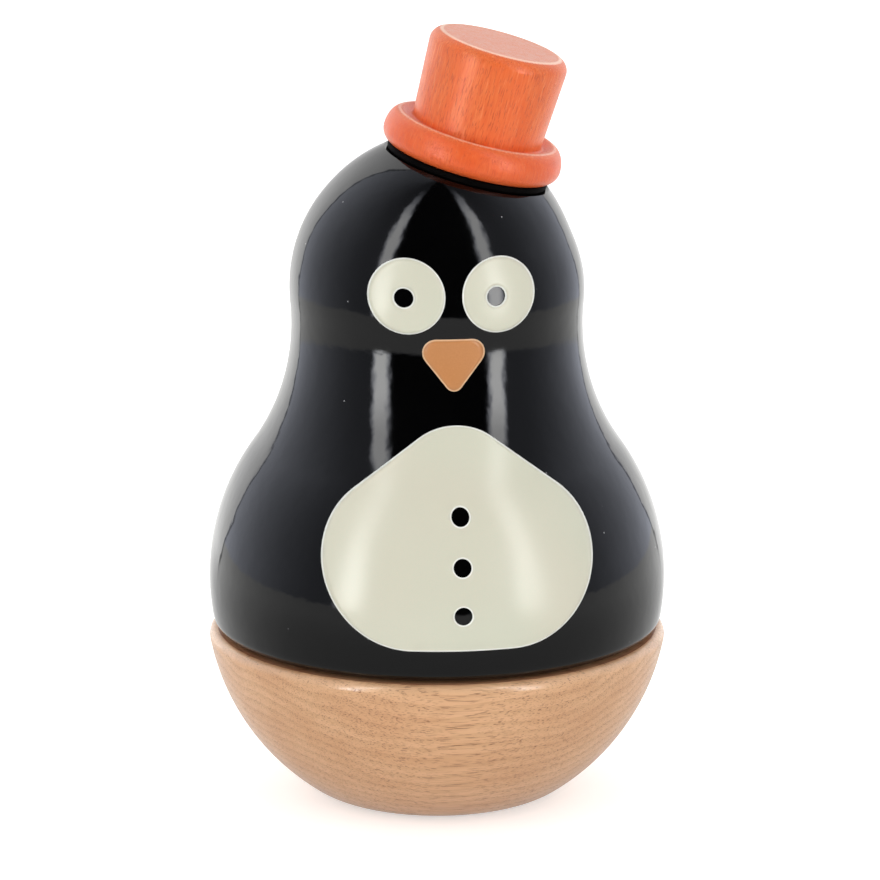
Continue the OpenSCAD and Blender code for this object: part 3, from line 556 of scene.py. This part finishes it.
def ease(tree, value, low, high, start=0.0, end=1.0):
    """Value taken smoothly from start at low to end at high."""
    inputs = {"Value": value, "From Min": low, "From Max": high, "To Min": start, "To Max": end}
    return add(tree, "MapRange", inputs, interpolation_type="SMOOTHSTEP").outputs[0]


def blend(tree, share, first, second, how="MIX"):
    """Two colours mixed by share."""
    return add(tree, "Mix", {0: share, 6: first, 7: second}, data_type="RGBA", blend_type=how).outputs[2]


def between(tree, share, first, second):
    """Value that goes straight from first to second while share goes from 0 to 1."""
    return add(tree, "Mix", {0: share, 2: first, 3: second}, data_type="FLOAT").outputs[0]


def shift(tree, vector, place=(0, 0, 0), turn=(0, 0, 0)):
    """Coordinates in a frame at place, turned by the angles given in degrees."""
    inputs = {"Vector": vector, "Location": place, "Rotation": [math.radians(a) for a in turn]}
    return add(tree, "Mapping", inputs, vector_type="TEXTURE").outputs[0]


def bump(tree, height, depth, normal=None):
    """Normal from a height field whose full step is depth metres."""
    inputs = {"Height": height, "Distance": depth, "Strength": 1.0}
    if normal is not None:
        inputs["Normal"] = normal
    return add(tree, "Bump", inputs).outputs[0]


def shade(red, green, blue):
    """Linear colour of an sRGB shade given from 0 to 255."""
    value = np.array([red, green, blue]) / 255
    linear = np.where(value > 0.04045, ((value + 0.055) / 1.055) ** 2.4, value / 12.92)
    return (*linear.tolist(), 1.0)


def finish(name, **plain):
    """A new material: its tree, its Principled shader with the plain sockets set, and Object coordinates."""
    material = bpy.data.materials.new(name)
    material.use_nodes = True
    tree = material.node_tree
    shader = tree.nodes["Principled BSDF"]
    for key, value in plain.items():
        shader.inputs[key.replace("_", " ")].default_value = value
    return material, tree, shader.inputs, add(tree, "TexCoord").outputs["Object"]


def effect(name, inputs, outputs):
    """A new node group with named inputs and outputs: its tree, its input sockets and its output sockets."""
    tree = bpy.data.node_groups.new(name, "ShaderNodeTree")
    for label, kind in inputs.items():
        tree.interface.new_socket(label, in_out="INPUT", socket_type="NodeSocket" + kind)
    for label in outputs:
        tree.interface.new_socket(label, in_out="OUTPUT", socket_type="NodeSocketFloat")
    return tree, tree.nodes.new("NodeGroupInput").outputs, tree.nodes.new("NodeGroupOutput").inputs


def place(tree, group, **inputs):
    """Puts an effect into a material and returns its outputs."""
    return add(tree, "Group", inputs, node_tree=group).outputs


def wood_fibres():
    """Fibres along Z: long soft streaks, short sharp pores and a broad drift of tone, each from 0 to 1."""
    tree, given, made = effect(
        "wood_fibres", {"Vector": "Vector", "Length": "Float", "Width": "Float"}, ["Streaks", "Pores", "Tone"]
    )

    def stretched(long, wide):
        across = calc(tree, "MULTIPLY", given["Width"], wide)
        along = calc(tree, "MULTIPLY", given["Length"], long)
        scale = add(tree, "CombineXYZ", {"X": across, "Y": across, "Z": along}).outputs[0]
        return add(tree, "VectorMath", {0: given["Vector"], 1: scale}, operation="DIVIDE").outputs[0]

    feed(tree, made["Streaks"], noise(tree, stretched(1, 1), 1, detail=4, rough=0.62))
    grain = noise(tree, stretched(0.3, 0.5), 1, detail=2, rough=0.5)
    feed(tree, made["Pores"], ease(tree, grain, 0.57, 0.66))
    feed(tree, made["Tone"], noise(tree, stretched(2.5, 14), 1, detail=2))
    return tree


def growth_rings():
    """Year rings about Z: late wood from 0 to 1, sharp on its outer side, and a tone for each year."""
    tree, given, made = effect(
        "growth_rings", {"Vector": "Vector", "Spacing": "Float", "Wobble": "Float"}, ["Late", "Year"]
    )
    axes = add(tree, "SeparateXYZ", {0: given["Vector"]}).outputs
    squares = [calc(tree, "MULTIPLY", axes[i], axes[i]) for i in range(2)]
    radius = calc(tree, "SQRT", calc(tree, "ADD", *squares))
    drift = calc(tree, "SUBTRACT", noise(tree, given["Vector"], 34 * MM, detail=2), 0.5)
    radius = calc(tree, "MULTIPLY_ADD", drift, given["Wobble"], radius)
    years = calc(tree, "DIVIDE", radius, given["Spacing"])
    part = calc(tree, "FRACT", years)
    rise = ease(tree, part, 0.25, 0.93)
    feed(tree, made["Late"], calc(tree, "MULTIPLY", rise, ease(tree, part, 1.0, 0.95)))
    year = add(tree, "TexWhiteNoise", {"W": calc(tree, "FLOOR", years)}, noise_dimensions="1D").outputs[0]
    feed(tree, made["Year"], year)
    return tree


def handling():
    """Traces of use: tiny specks of dust as a mask, and soft smudges from 0 to 1."""
    tree, given, made = effect("handling", {"Vector": "Vector", "Spacing": "Float"}, ["Specks", "Smudges"])
    spots = add(tree, "VectorMath", {0: given["Vector"], 1: given["Spacing"]}, operation="DIVIDE").outputs[0]
    cells = add(tree, "TexVoronoi", {"Vector": spots, "Scale": 1.0})
    near = ease(tree, cells.outputs["Distance"], 0.035, 0.02)
    chosen = add(tree, "SeparateColor", {0: cells.outputs["Color"]}).outputs[0]
    feed(tree, made["Specks"], calc(tree, "MULTIPLY", near, calc(tree, "GREATER_THAN", chosen, 0.6)))
    feed(tree, made["Smudges"], noise(tree, given["Vector"], 14 * MM, detail=5, rough=0.6, warp=0.4))
    return tree


def machined():
    """Turned or milled metal: fine tool lines round Z and a cloudy tone, each from 0 to 1."""
    tree, given, made = effect("machined", {"Vector": "Vector", "Pitch": "Float"}, ["Lines", "Cloud"])
    axes = add(tree, "SeparateXYZ", {0: given["Vector"]}).outputs
    flat = add(tree, "CombineXYZ", {"X": axes[0], "Y": axes[1]}).outputs[0]
    radius = add(tree, "VectorMath", {0: flat}, operation="LENGTH").outputs["Value"]
    level = calc(tree, "ADD", radius, axes[2])
    lines = add(tree, "TexNoise", {"W": calc(tree, "DIVIDE", level, given["Pitch"])}, noise_dimensions="1D")
    feed(tree, made["Lines"], lines.outputs[0])
    feed(tree, made["Cloud"], noise(tree, given["Vector"], 3 * MM, detail=4, rough=0.6))
    return tree


FIBRES = wood_fibres()
RINGS = growth_rings()
HANDLING = handling()
MACHINED = machined()


# Finishes that show


def black_lacquer():
    """Thick black gloss lacquer: slightly wavy over the wood, with a few specks of dust and faint smudges."""
    material, tree, sockets, where = finish("black_lacquer", IOR=1.37)
    marks = place(tree, HANDLING, Vector=where, Spacing=6 * MM)
    tone = blend(tree, marks["Smudges"], (0.0005, 0.0005, 0.0006, 1), (0.0016, 0.0016, 0.0018, 1))
    feed(tree, sockets["Base Color"], blend(tree, marks["Specks"], tone, shade(140, 140, 142)))
    feed(tree, sockets["Roughness"], ease(tree, marks["Smudges"], 0.3, 0.75, 0.04, 0.085))
    wave = noise(tree, where, 4.5 * MM, detail=2, rough=0.45)
    grain = noise(tree, where, 0.8 * MM, detail=1)
    feed(tree, sockets["Normal"], bump(tree, wave, 0.055 * MM, bump(tree, grain, 0.0025 * MM)))
    return material


def dull_black():
    """Matt black on the disc under the hat, which keeps the band under the brim dark with no highlights: a
    fine dry grain and a tone that clouds a little.
    """
    material, tree, sockets, where = finish("dull_black", IOR=1.1)
    cloud = noise(tree, where, 3 * MM, detail=3)
    grain = noise(tree, where, 0.25 * MM, detail=2)
    tone = ease(tree, cloud, 0.3, 0.7)
    paint = blend(tree, tone, (0.0012, 0.001, 0.001, 1), (0.0026, 0.002, 0.0019, 1))
    feed(tree, sockets["Base Color"], paint)
    feed(tree, sockets["Roughness"], ease(tree, grain, 0.3, 0.7, 0.62, 0.8))
    feed(tree, sockets["Normal"], bump(tree, grain, 0.01 * MM))
    return material


def printed(name, base, drift, edge, roughness):
    """Printed film: a base colour that drifts a little, a pale line along its edge and fine wrinkles."""
    material, tree, sockets, where = finish(name, IOR=1.37)
    rim = add(tree, "Attribute", attribute_name="rim").outputs["Fac"]
    cloud = noise(tree, where, 26 * MM, detail=1, rough=0.4)
    mottle = calc(tree, "MULTIPLY_ADD", noise(tree, where, 0.3 * MM, detail=1), 0.5, cloud)
    body = blend(tree, ease(tree, mottle, 0.5, 1.0), base, drift)
    marks = place(tree, HANDLING, Vector=where, Spacing=11 * MM)
    body = blend(tree, calc(tree, "MULTIPLY", marks["Specks"], 0.35), body, shade(150, 146, 132))
    feed(tree, sockets["Base Color"], blend(tree, ease(tree, rim, 0.36 * MM, 0.18 * MM), body, edge))
    gloss = noise(tree, where, 9 * MM, detail=1)
    feed(tree, sockets["Roughness"], ease(tree, gloss, 0.3, 0.7, roughness - 0.03, roughness + 0.04))
    creases = noise(tree, where, 1.6 * MM, detail=1, rough=0.4)
    feed(tree, sockets["Normal"], bump(tree, creases, 0.003 * MM))
    return material


def cream_print():
    """Cream print with a faint pastel drift from pink to green."""
    return printed("cream_print", shade(216, 212, 193), shade(211, 212, 193), shade(240, 241, 233), 0.22)


def tan_print():
    """Tan print of the beak."""
    return printed("tan_print", shade(202, 141, 90), shade(195, 133, 83), shade(232, 192, 152), 0.32)


def orange_stain():
    """Beech stained orange: streaks and fine dark pores along the hat's axis, and a redder brim.

    The top is painted paler in spots as a painted sheen, and the worn edges are rubbed pale with a painted
    highlight.
    """
    material, tree, sockets, where = finish("orange_stain", IOR=1.42)
    along = shift(tree, where, (0, 0, head_z), (0, HAT_TILT, HAT_HEADING))
    fibres = place(tree, FIBRES, Vector=along, Length=7 * MM, Width=0.36 * MM)
    tone = blend(tree, ease(tree, fibres["Streaks"], 0.3, 0.7), shade(228, 101, 48), shade(239, 127, 70))
    tone = blend(tree, ease(tree, fibres["Tone"], 0.35, 0.7, 0, 0.6), tone, shade(234, 101, 41))
    tone = blend(tree, ease(tree, fibres["Streaks"], 0.58, 0.74, 0, 0.4), tone, shade(250, 168, 124))
    tone = blend(tree, calc(tree, "MULTIPLY", fibres["Pores"], 0.6), tone, shade(190, 66, 30))
    height = add(tree, "SeparateXYZ", {0: along}).outputs[2]
    crest = hat_seat + DISC_T + BRIM_T
    tone = blend(tree, ease(tree, height, crest, crest - 1 * MM, 0, 0.5), tone, shade(232, 86, 36))
    top = crest + HAT_RISE
    # Painted sheen: the top face is lightened in spots as if it caught the light.
    flat = ease(tree, height, top - 0.15 * MM, top - 0.03 * MM)
    rays = noise(tree, along, 1.3 * MM, detail=4, rough=0.75)
    painted_top_sheen = calc(tree, "MULTIPLY", flat, ease(tree, rays, 0.38, 0.6, 1.0, 0.55))
    tone = blend(tree, painted_top_sheen, tone, shade(230, 156, 130))
    worn_and_painted_light = add(tree, "Attribute", attribute_name="wear").outputs["Fac"]
    # Rubbed pale crests: partly real wear, partly a painted highlight along the edges.
    rubbed_and_painted_light = ease(tree, calc(tree, "MULTIPLY_ADD", fibres["Streaks"], 0.5, worn_and_painted_light), 0.85, 1.25, 0, 0.9)
    feed(tree, sockets["Base Color"], blend(tree, rubbed_and_painted_light, tone, shade(254, 212, 188)))
    feed(tree, sockets["Roughness"], ease(tree, fibres["Streaks"], 0.3, 0.7, 0.28, 0.4))
    relief = calc(tree, "SUBTRACT", fibres["Streaks"], calc(tree, "MULTIPLY", fibres["Pores"], 0.8))
    relief = calc(tree, "MULTIPLY_ADD", calc(tree, "MULTIPLY", flat, rays), 2.0, relief)
    feed(tree, sockets["Normal"], bump(tree, relief, 0.045 * MM))
    return material


def beech_wood(name, origin, turn, spacing, light, dark, late, rough, varnish=0.0, **plain):
    """Steamed beech: growth rings, dark flecks along the grain and a drift from straw to pink.

    Worn edges are pale and rougher, with patches of thicker varnish. Where the value is below zero, the
    wood is painted dark red, a painted shade for the gap under the penguin. With no varnish there is no coat.
    """
    material, tree, sockets, where = finish(name, IOR=1.45, **plain)
    along = shift(tree, where, origin, turn)
    rings = place(tree, RINGS, Vector=along, Spacing=spacing, Wobble=11 * MM)
    fibres = place(tree, FIBRES, Vector=along, Length=15 * MM, Width=0.4 * MM)
    tone = blend(tree, ease(tree, fibres["Tone"], 0.3, 0.7), light, dark)
    tone = blend(tree, calc(tree, "MULTIPLY", rings["Year"], 0.2), tone, dark)
    tone = blend(tree, calc(tree, "MULTIPLY", rings["Late"], 0.3), tone, late)
    tone = blend(tree, ease(tree, fibres["Streaks"], 0.48, 0.72, 0, 0.5), tone, late)
    crowded = ease(tree, rings["Late"], 0.0, 1.0, 0.45, 0.9)
    tone = blend(tree, calc(tree, "MULTIPLY", fibres["Pores"], crowded), tone, shade(148, 94, 60))
    worn_and_painted_light = add(tree, "Attribute", attribute_name="wear").outputs["Fac"]
    tone = blend(tree, ease(tree, worn_and_painted_light, 0, 1, 0, 0.25), tone, shade(236, 196, 158))
    # Painted shade: below zero the wood is painted dark red, as in the shaded gap under the penguin.
    tone = blend(tree, ease(tree, worn_and_painted_light, 0, -0.7, 0, 0.8), tone, shade(146, 66, 42))
    feed(tree, sockets["Base Color"], tone)
    feed(tree, sockets["Roughness"], ease(tree, fibres["Streaks"], 0.3, 0.7, rough, rough + 0.14))
    height = calc(tree, "SUBTRACT", fibres["Streaks"], calc(tree, "MULTIPLY", fibres["Pores"], 0.9))
    height = calc(tree, "MULTIPLY", height, ease(tree, worn_and_painted_light, 0, 1, 1, 1.7))
    feed(tree, sockets["Normal"], bump(tree, height, 0.04 * MM))
    if varnish:
        patches = ease(tree, noise(tree, where, 0.5 * MM, detail=2), 0.45, 0.6)
        thick = calc(tree, "MULTIPLY_ADD", ease(tree, worn_and_painted_light, 0, 1, 0, 1 - varnish), patches, varnish)
        feed(tree, sockets["Coat Weight"], thick)
    return material


def beech():
    """The base's beech, with its grain along X and nearly level rings, under a thin satin varnish."""
    return beech_wood(
        "beech", (0, 20 * MM, -150 * MM), (0, 90, 0), 2.3 * MM,
        shade(229, 182, 138), shade(219, 168, 124), shade(192, 140, 98), 0.38,
        varnish=0.45, Coat_Roughness=0.13,
    )


def raw_beech():
    """Bare beech inside the turned pieces, with its grain upright and its pith off to one side."""
    return beech_wood(
        "raw_beech", (70 * MM, 30 * MM, 0), (0, 0, 0), 3.1 * MM,
        shade(224, 186, 148), shade(214, 172, 132), shade(190, 146, 108), 0.66,
    )


# Finishes inside


def plywood():
    """Birch plywood: thin plies whose grain runs along X and Y in turn, with dark glue lines between them."""
    material, tree, sockets, where = finish("plywood", IOR=1.45)
    ply = calc(tree, "DIVIDE", add(tree, "SeparateXYZ", {0: where}).outputs[2], 1.25 * MM)
    first = place(tree, FIBRES, Vector=shift(tree, where, turn=(0, 90, 0)), Length=16 * MM, Width=0.4 * MM)
    second = place(tree, FIBRES, Vector=shift(tree, where, turn=(90, 0, 0)), Length=16 * MM, Width=0.4 * MM)
    odd = calc(tree, "GREATER_THAN", calc(tree, "FRACT", calc(tree, "MULTIPLY", ply, 0.5)), 0.5)
    streaks = between(tree, odd, first["Streaks"], second["Streaks"])
    tone = blend(tree, ease(tree, streaks, 0.3, 0.7), shade(222, 192, 148), shade(204, 168, 122))
    glue = ease(tree, calc(tree, "PINGPONG", ply, 0.5), 0.08, 0.03)
    tone = blend(tree, calc(tree, "MULTIPLY", glue, 0.7), tone, shade(120, 84, 52))
    feed(tree, sockets["Base Color"], tone)
    feed(tree, sockets["Roughness"], ease(tree, streaks, 0.3, 0.7, 0.62, 0.78))
    feed(tree, sockets["Normal"], bump(tree, streaks, 0.03 * MM))
    return material


def felt():
    """Pressed wool felt: matted fibres in two greys with a soft nap."""
    material, tree, sockets, where = finish("felt", Sheen_Weight=0.35, Sheen_Roughness=0.6)
    mat = noise(tree, where, 0.5 * MM, detail=5, rough=0.72, warp=2.5)
    cloud = noise(tree, where, 5 * MM, detail=2)
    tone = blend(tree, ease(tree, mat, 0.35, 0.68), shade(66, 69, 73), shade(98, 101, 106))
    tone = blend(tree, ease(tree, cloud, 0.3, 0.7, 0, 0.3), tone, shade(80, 82, 86))
    feed(tree, sockets["Base Color"], tone)
    feed(tree, sockets["Roughness"], ease(tree, mat, 0.3, 0.7, 0.86, 0.98))
    feed(tree, sockets["Normal"], bump(tree, mat, 0.16 * MM))
    return material


def metal(name, light, dark, pitch, smooth, rough, relief):
    """Bare metal: tool lines that vary its gloss, a cloudy tone and a fine relief."""
    material, tree, sockets, where = finish(name, Metallic=1.0)
    marks = place(tree, MACHINED, Vector=where, Pitch=pitch)
    feed(tree, sockets["Base Color"], blend(tree, ease(tree, marks["Cloud"], 0.3, 0.7), light, dark))
    feed(tree, sockets["Roughness"], ease(tree, marks["Lines"], 0.25, 0.75, smooth, rough))
    height = calc(tree, "MULTIPLY_ADD", marks["Cloud"], 0.5, marks["Lines"])
    feed(tree, sockets["Normal"], bump(tree, height, relief))
    return material


def moulded(name, light, dark, roughness):
    """Moulded plastic: a tone that clouds a little and a fine orange-peel skin."""
    material, tree, sockets, where = finish(name, IOR=1.5)
    cloud = noise(tree, where, 2.5 * MM, detail=3)
    skin = noise(tree, where, 0.35 * MM, detail=2)
    feed(tree, sockets["Base Color"], blend(tree, ease(tree, cloud, 0.3, 0.7), light, dark))
    feed(tree, sockets["Roughness"], ease(tree, skin, 0.3, 0.7, roughness - 0.06, roughness + 0.06))
    feed(tree, sockets["Normal"], bump(tree, skin, 0.006 * MM))
    return material


RAW_BEECH = raw_beech()
DULL_BLACK = dull_black()
FINISHES = {
    "beech": beech(),
    "black_lacquer": black_lacquer(),
    "orange_stain": orange_stain(),
    "cream_print": cream_print(),
    "tan_print": tan_print(),
    "plywood": plywood(),
    "felt": felt(),
    "nylon": moulded("nylon", shade(238, 236, 226), shade(228, 225, 212), 0.42),
    "iron": metal("iron", shade(112, 113, 116), shade(78, 79, 82), 0.25 * MM, 0.5, 0.68, 0.03 * MM),
    "steel": metal("steel", shade(196, 198, 202), shade(170, 172, 177), 0.05 * MM, 0.2, 0.32, 0.002 * MM),
    "spring_steel": metal(
        "spring_steel", shade(98, 112, 140), shade(120, 106, 96), 0.06 * MM, 0.24, 0.36, 0.002 * MM,
    ),
    "zinc": metal("zinc", shade(176, 178, 181), shade(150, 152, 156), 0.2 * MM, 0.4, 0.55, 0.012 * MM),
    "brass": metal("brass", shade(222, 186, 104), shade(198, 156, 76), 0.05 * MM, 0.2, 0.34, 0.002 * MM),
    "gear_plastic": moulded("gear_plastic", shade(230, 226, 208), shade(218, 213, 192), 0.4),
    "vane_plastic": moulded("vane_plastic", shade(150, 80, 62), shade(132, 66, 50), 0.38),
}


def finish_nodes():
    """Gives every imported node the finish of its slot, and the dowel bare wood."""
    for row in frame["record"]["subparts"]:
        material = RAW_BEECH if row["node"] == "hat_dowel" else FINISHES[row["material_slot"]]
        for slot in frame["nodes"][row["node"]].material_slots:
            slot.material = material


# Stage, light and camera

CAMERA_AZIMUTH = -6.4
CAMERA_ELEVATION = 13.8
CAMERA_DISTANCE = 900 * MM
AIM_Z = 70.6 * MM
FOCAL_PIXELS = 4574.6
IMAGE_PIXELS = 880
SENSOR = 36.0
AXIS_PIXELS = 437
FLOOR_HALF = 3.0
LAMP_HEADING = 1.6
WALL_HEADING = 4.5
SLIT_EDGE = (34, 40)
STRIP_INNER = (36, 42)
STRIP_OUTER = (53.5, 47.5)
WALL_SPAN = (60, 135)
SEAM_FRONT = (137.3, 138.5)
SEAM_BACK = (140.1, 138.9)
BACKDROP_SPAN = (140, 178)
STRIP_LOW = 12.3
STRIP_HIGH = 7.0
DIFFUSE_LEVEL = 0.82
MIRRORED_TINT = (0.94, 0.98, 1.11, 1)


def photo_camera():
    """Camera at the photograph's viewing angle, aimed at the turning axis."""
    lens = bpy.data.cameras.new("photo_camera")
    lens.sensor_width = SENSOR
    lens.lens = FOCAL_PIXELS * SENSOR / IMAGE_PIXELS
    lens.shift_x = (IMAGE_PIXELS / 2 - AXIS_PIXELS) / IMAGE_PIXELS
    lens.clip_start = 0.01
    camera = bpy.data.objects.new("photo_camera", lens)
    azimuth = math.radians(CAMERA_AZIMUTH)
    elevation = math.radians(CAMERA_ELEVATION)
    level = CAMERA_DISTANCE * math.cos(elevation)
    camera.location = (
        level * math.sin(azimuth),
        -level * math.cos(azimuth),
        AIM_Z + CAMERA_DISTANCE * math.sin(elevation),
    )
    camera.rotation_euler = (math.pi / 2 - elevation, 0, azimuth)
    bpy.context.scene.collection.objects.link(camera)
    bpy.context.scene.camera = camera


def tent_level(tree, way, mirrored, floor=0.0):
    """Brightness of the tent by direction, and how far mirrored rays see it without its cool tint.

    Directions count in degrees from the camera's side. A dark slit for the camera lies between two bright
    strips. The walls brighten towards the back, up to a thin seam. Behind the seam, mirrored rays see a
    bright backdrop that fades to plain white behind the object. Floor is the share of the white floor,
    which covers slit and strips.
    """
    ahead = add(tree, "VectorMath", {0: way}, operation="NORMALIZE").outputs[0]
    axes = add(tree, "SeparateXYZ", {0: ahead}).outputs
    turn = calc(tree, "ARCTAN2", axes[0], calc(tree, "MULTIPLY", axes[1], -1.0))
    rise = calc(tree, "ARCSINE", axes[2])

    def side(heading):
        return calc(tree, "ABSOLUTE", calc(tree, "SUBTRACT", turn, math.radians(heading)))

    def step(value, low, high, start=0.0, end=1.0):
        return ease(tree, value, math.radians(low), math.radians(high), start, end)

    lamp = side(LAMP_HEADING)
    wall = side(WALL_HEADING)
    lit = calc(tree, "MULTIPLY", step(rise, 80, 50), calc(tree, "SUBTRACT", 1.0, floor))
    strip = calc(tree, "MULTIPLY", step(lamp, *STRIP_INNER), step(lamp, *STRIP_OUTER, 0.0, lit))
    strips = calc(tree, "MULTIPLY", strip, step(rise, 5, 30, STRIP_LOW, STRIP_HIGH))
    white = calc(tree, "MAXIMUM", step(lamp, *SLIT_EDGE), floor)
    front = calc(tree, "MULTIPLY_ADD", floor, 0.5, 0.45)
    walls = calc(tree, "MULTIPLY", white, step(wall, *WALL_SPAN, front, 1.5))
    walls = calc(tree, "MULTIPLY", walls, step(rise, 35, 85, 1.0, 0.5))
    seam = calc(tree, "MULTIPLY", step(wall, *SEAM_FRONT), step(wall, *SEAM_BACK, 0.0, mirrored))
    level = calc(tree, "MULTIPLY_ADD", seam, -1.0, calc(tree, "ADD", strips, walls))
    cast = ease(tree, axes[0], -0.5, 0.5, 0.85, 0.68)
    backdrop = calc(tree, "MULTIPLY", step(wall, *BACKDROP_SPAN, 2.6, 1.2), cast)
    behind = calc(tree, "MULTIPLY", step(wall, *SEAM_BACK[::-1]), mirrored)
    level = between(tree, behind, level, backdrop)
    return level, calc(tree, "MAXIMUM", behind, calc(tree, "MULTIPLY", strip, mirrored))


def pale_floor():
    """Wide white floor that keeps a soft shadow.

    Mirrored rays see its white middle, and the foot of the tent round that.
    """
    corners = FLOOR_HALF * np.array([(-1, -1, 0), (1, -1, 0), (1, 1, 0), (-1, 1, 0)], float)
    floor = mesh_object("floor", corners, np.array([[0, 1, 2, 3]]))
    material = bpy.data.materials.new("floor_white")
    material.use_nodes = True
    tree = material.node_tree
    tree.nodes.clear()
    where = add(tree, "TexCoord").outputs["Object"]
    distance = add(tree, "VectorMath", {0: where}, operation="LENGTH").outputs["Value"]
    path = add(tree, "LightPath").outputs
    mirrored = calc(tree, "MAXIMUM", path["Is Glossy Ray"], path["Is Transmission Ray"])
    near = ease(tree, distance, 0.54, 0.46)
    sheet = ease(tree, distance, 0.18, 0.32)
    level, plain = tent_level(tree, shift(tree, where, turn=(0, 0, CAMERA_AZIMUTH)), sheet, near)
    # Painted shade: for mirrored rays the floor is darker near the object, where its shadow falls.
    level = calc(tree, "MULTIPLY", level, ease(tree, distance, 0.05, 0.3, 0.65, 1.0))
    tint = blend(tree, calc(tree, "MAXIMUM", near, plain), MIRRORED_TINT, (1.0, 1.0, 0.99, 1))
    matt = add(tree, "BsdfDiffuse", {"Color": (0.85, 0.85, 0.85, 1)}).outputs[0]
    lift = add(tree, "Emission", {"Strength": calc(tree, "MULTIPLY", path["Is Camera Ray"], 0.5)}).outputs[0]
    shown = add(tree, "AddShader", {0: matt, 1: lift}).outputs[0]
    seen = add(tree, "Emission", {"Color": tint, "Strength": level}).outputs[0]
    surface = add(tree, "MixShader", {0: mirrored, 1: shown, 2: seen}).outputs[0]
    add(tree, "OutputMaterial", {"Surface": surface})
    floor.data.materials.append(material)


def studio_tent():
    """White tent all round as the only light, plain white where the camera sees it."""
    world = bpy.data.worlds.new("studio_tent")
    bpy.context.scene.world = world
    world.use_nodes = True
    tree = world.node_tree
    tree.nodes.clear()
    way = shift(tree, add(tree, "TexCoord").outputs["Generated"], turn=(0, 0, CAMERA_AZIMUTH))
    path = add(tree, "LightPath").outputs
    level, plain = tent_level(tree, way, path["Is Glossy Ray"])
    level = calc(tree, "MULTIPLY", level, ease(tree, path["Is Diffuse Ray"], 0, 1, 1, DIFFUSE_LEVEL))
    clear = calc(tree, "MAXIMUM", path["Is Camera Ray"], path["Is Transmission Ray"])
    strength = between(tree, clear, level, 1.0)
    tinted = calc(tree, "SUBTRACT", path["Is Glossy Ray"], plain)
    tint = blend(tree, tinted, (1, 1, 1, 1), MIRRORED_TINT)
    light = add(tree, "Background", {"Color": tint, "Strength": strength})
    add(tree, "OutputWorld", {"Surface": light.outputs[0]})


bpy.context.scene.view_settings.view_transform = "Standard"
photo_camera()
pale_floor()
studio_tent()
finish_nodes()
lacquered_body()
black_disc()
stained_hat()
turned_bowl()
eye_films()
beak_film()
belly_film()
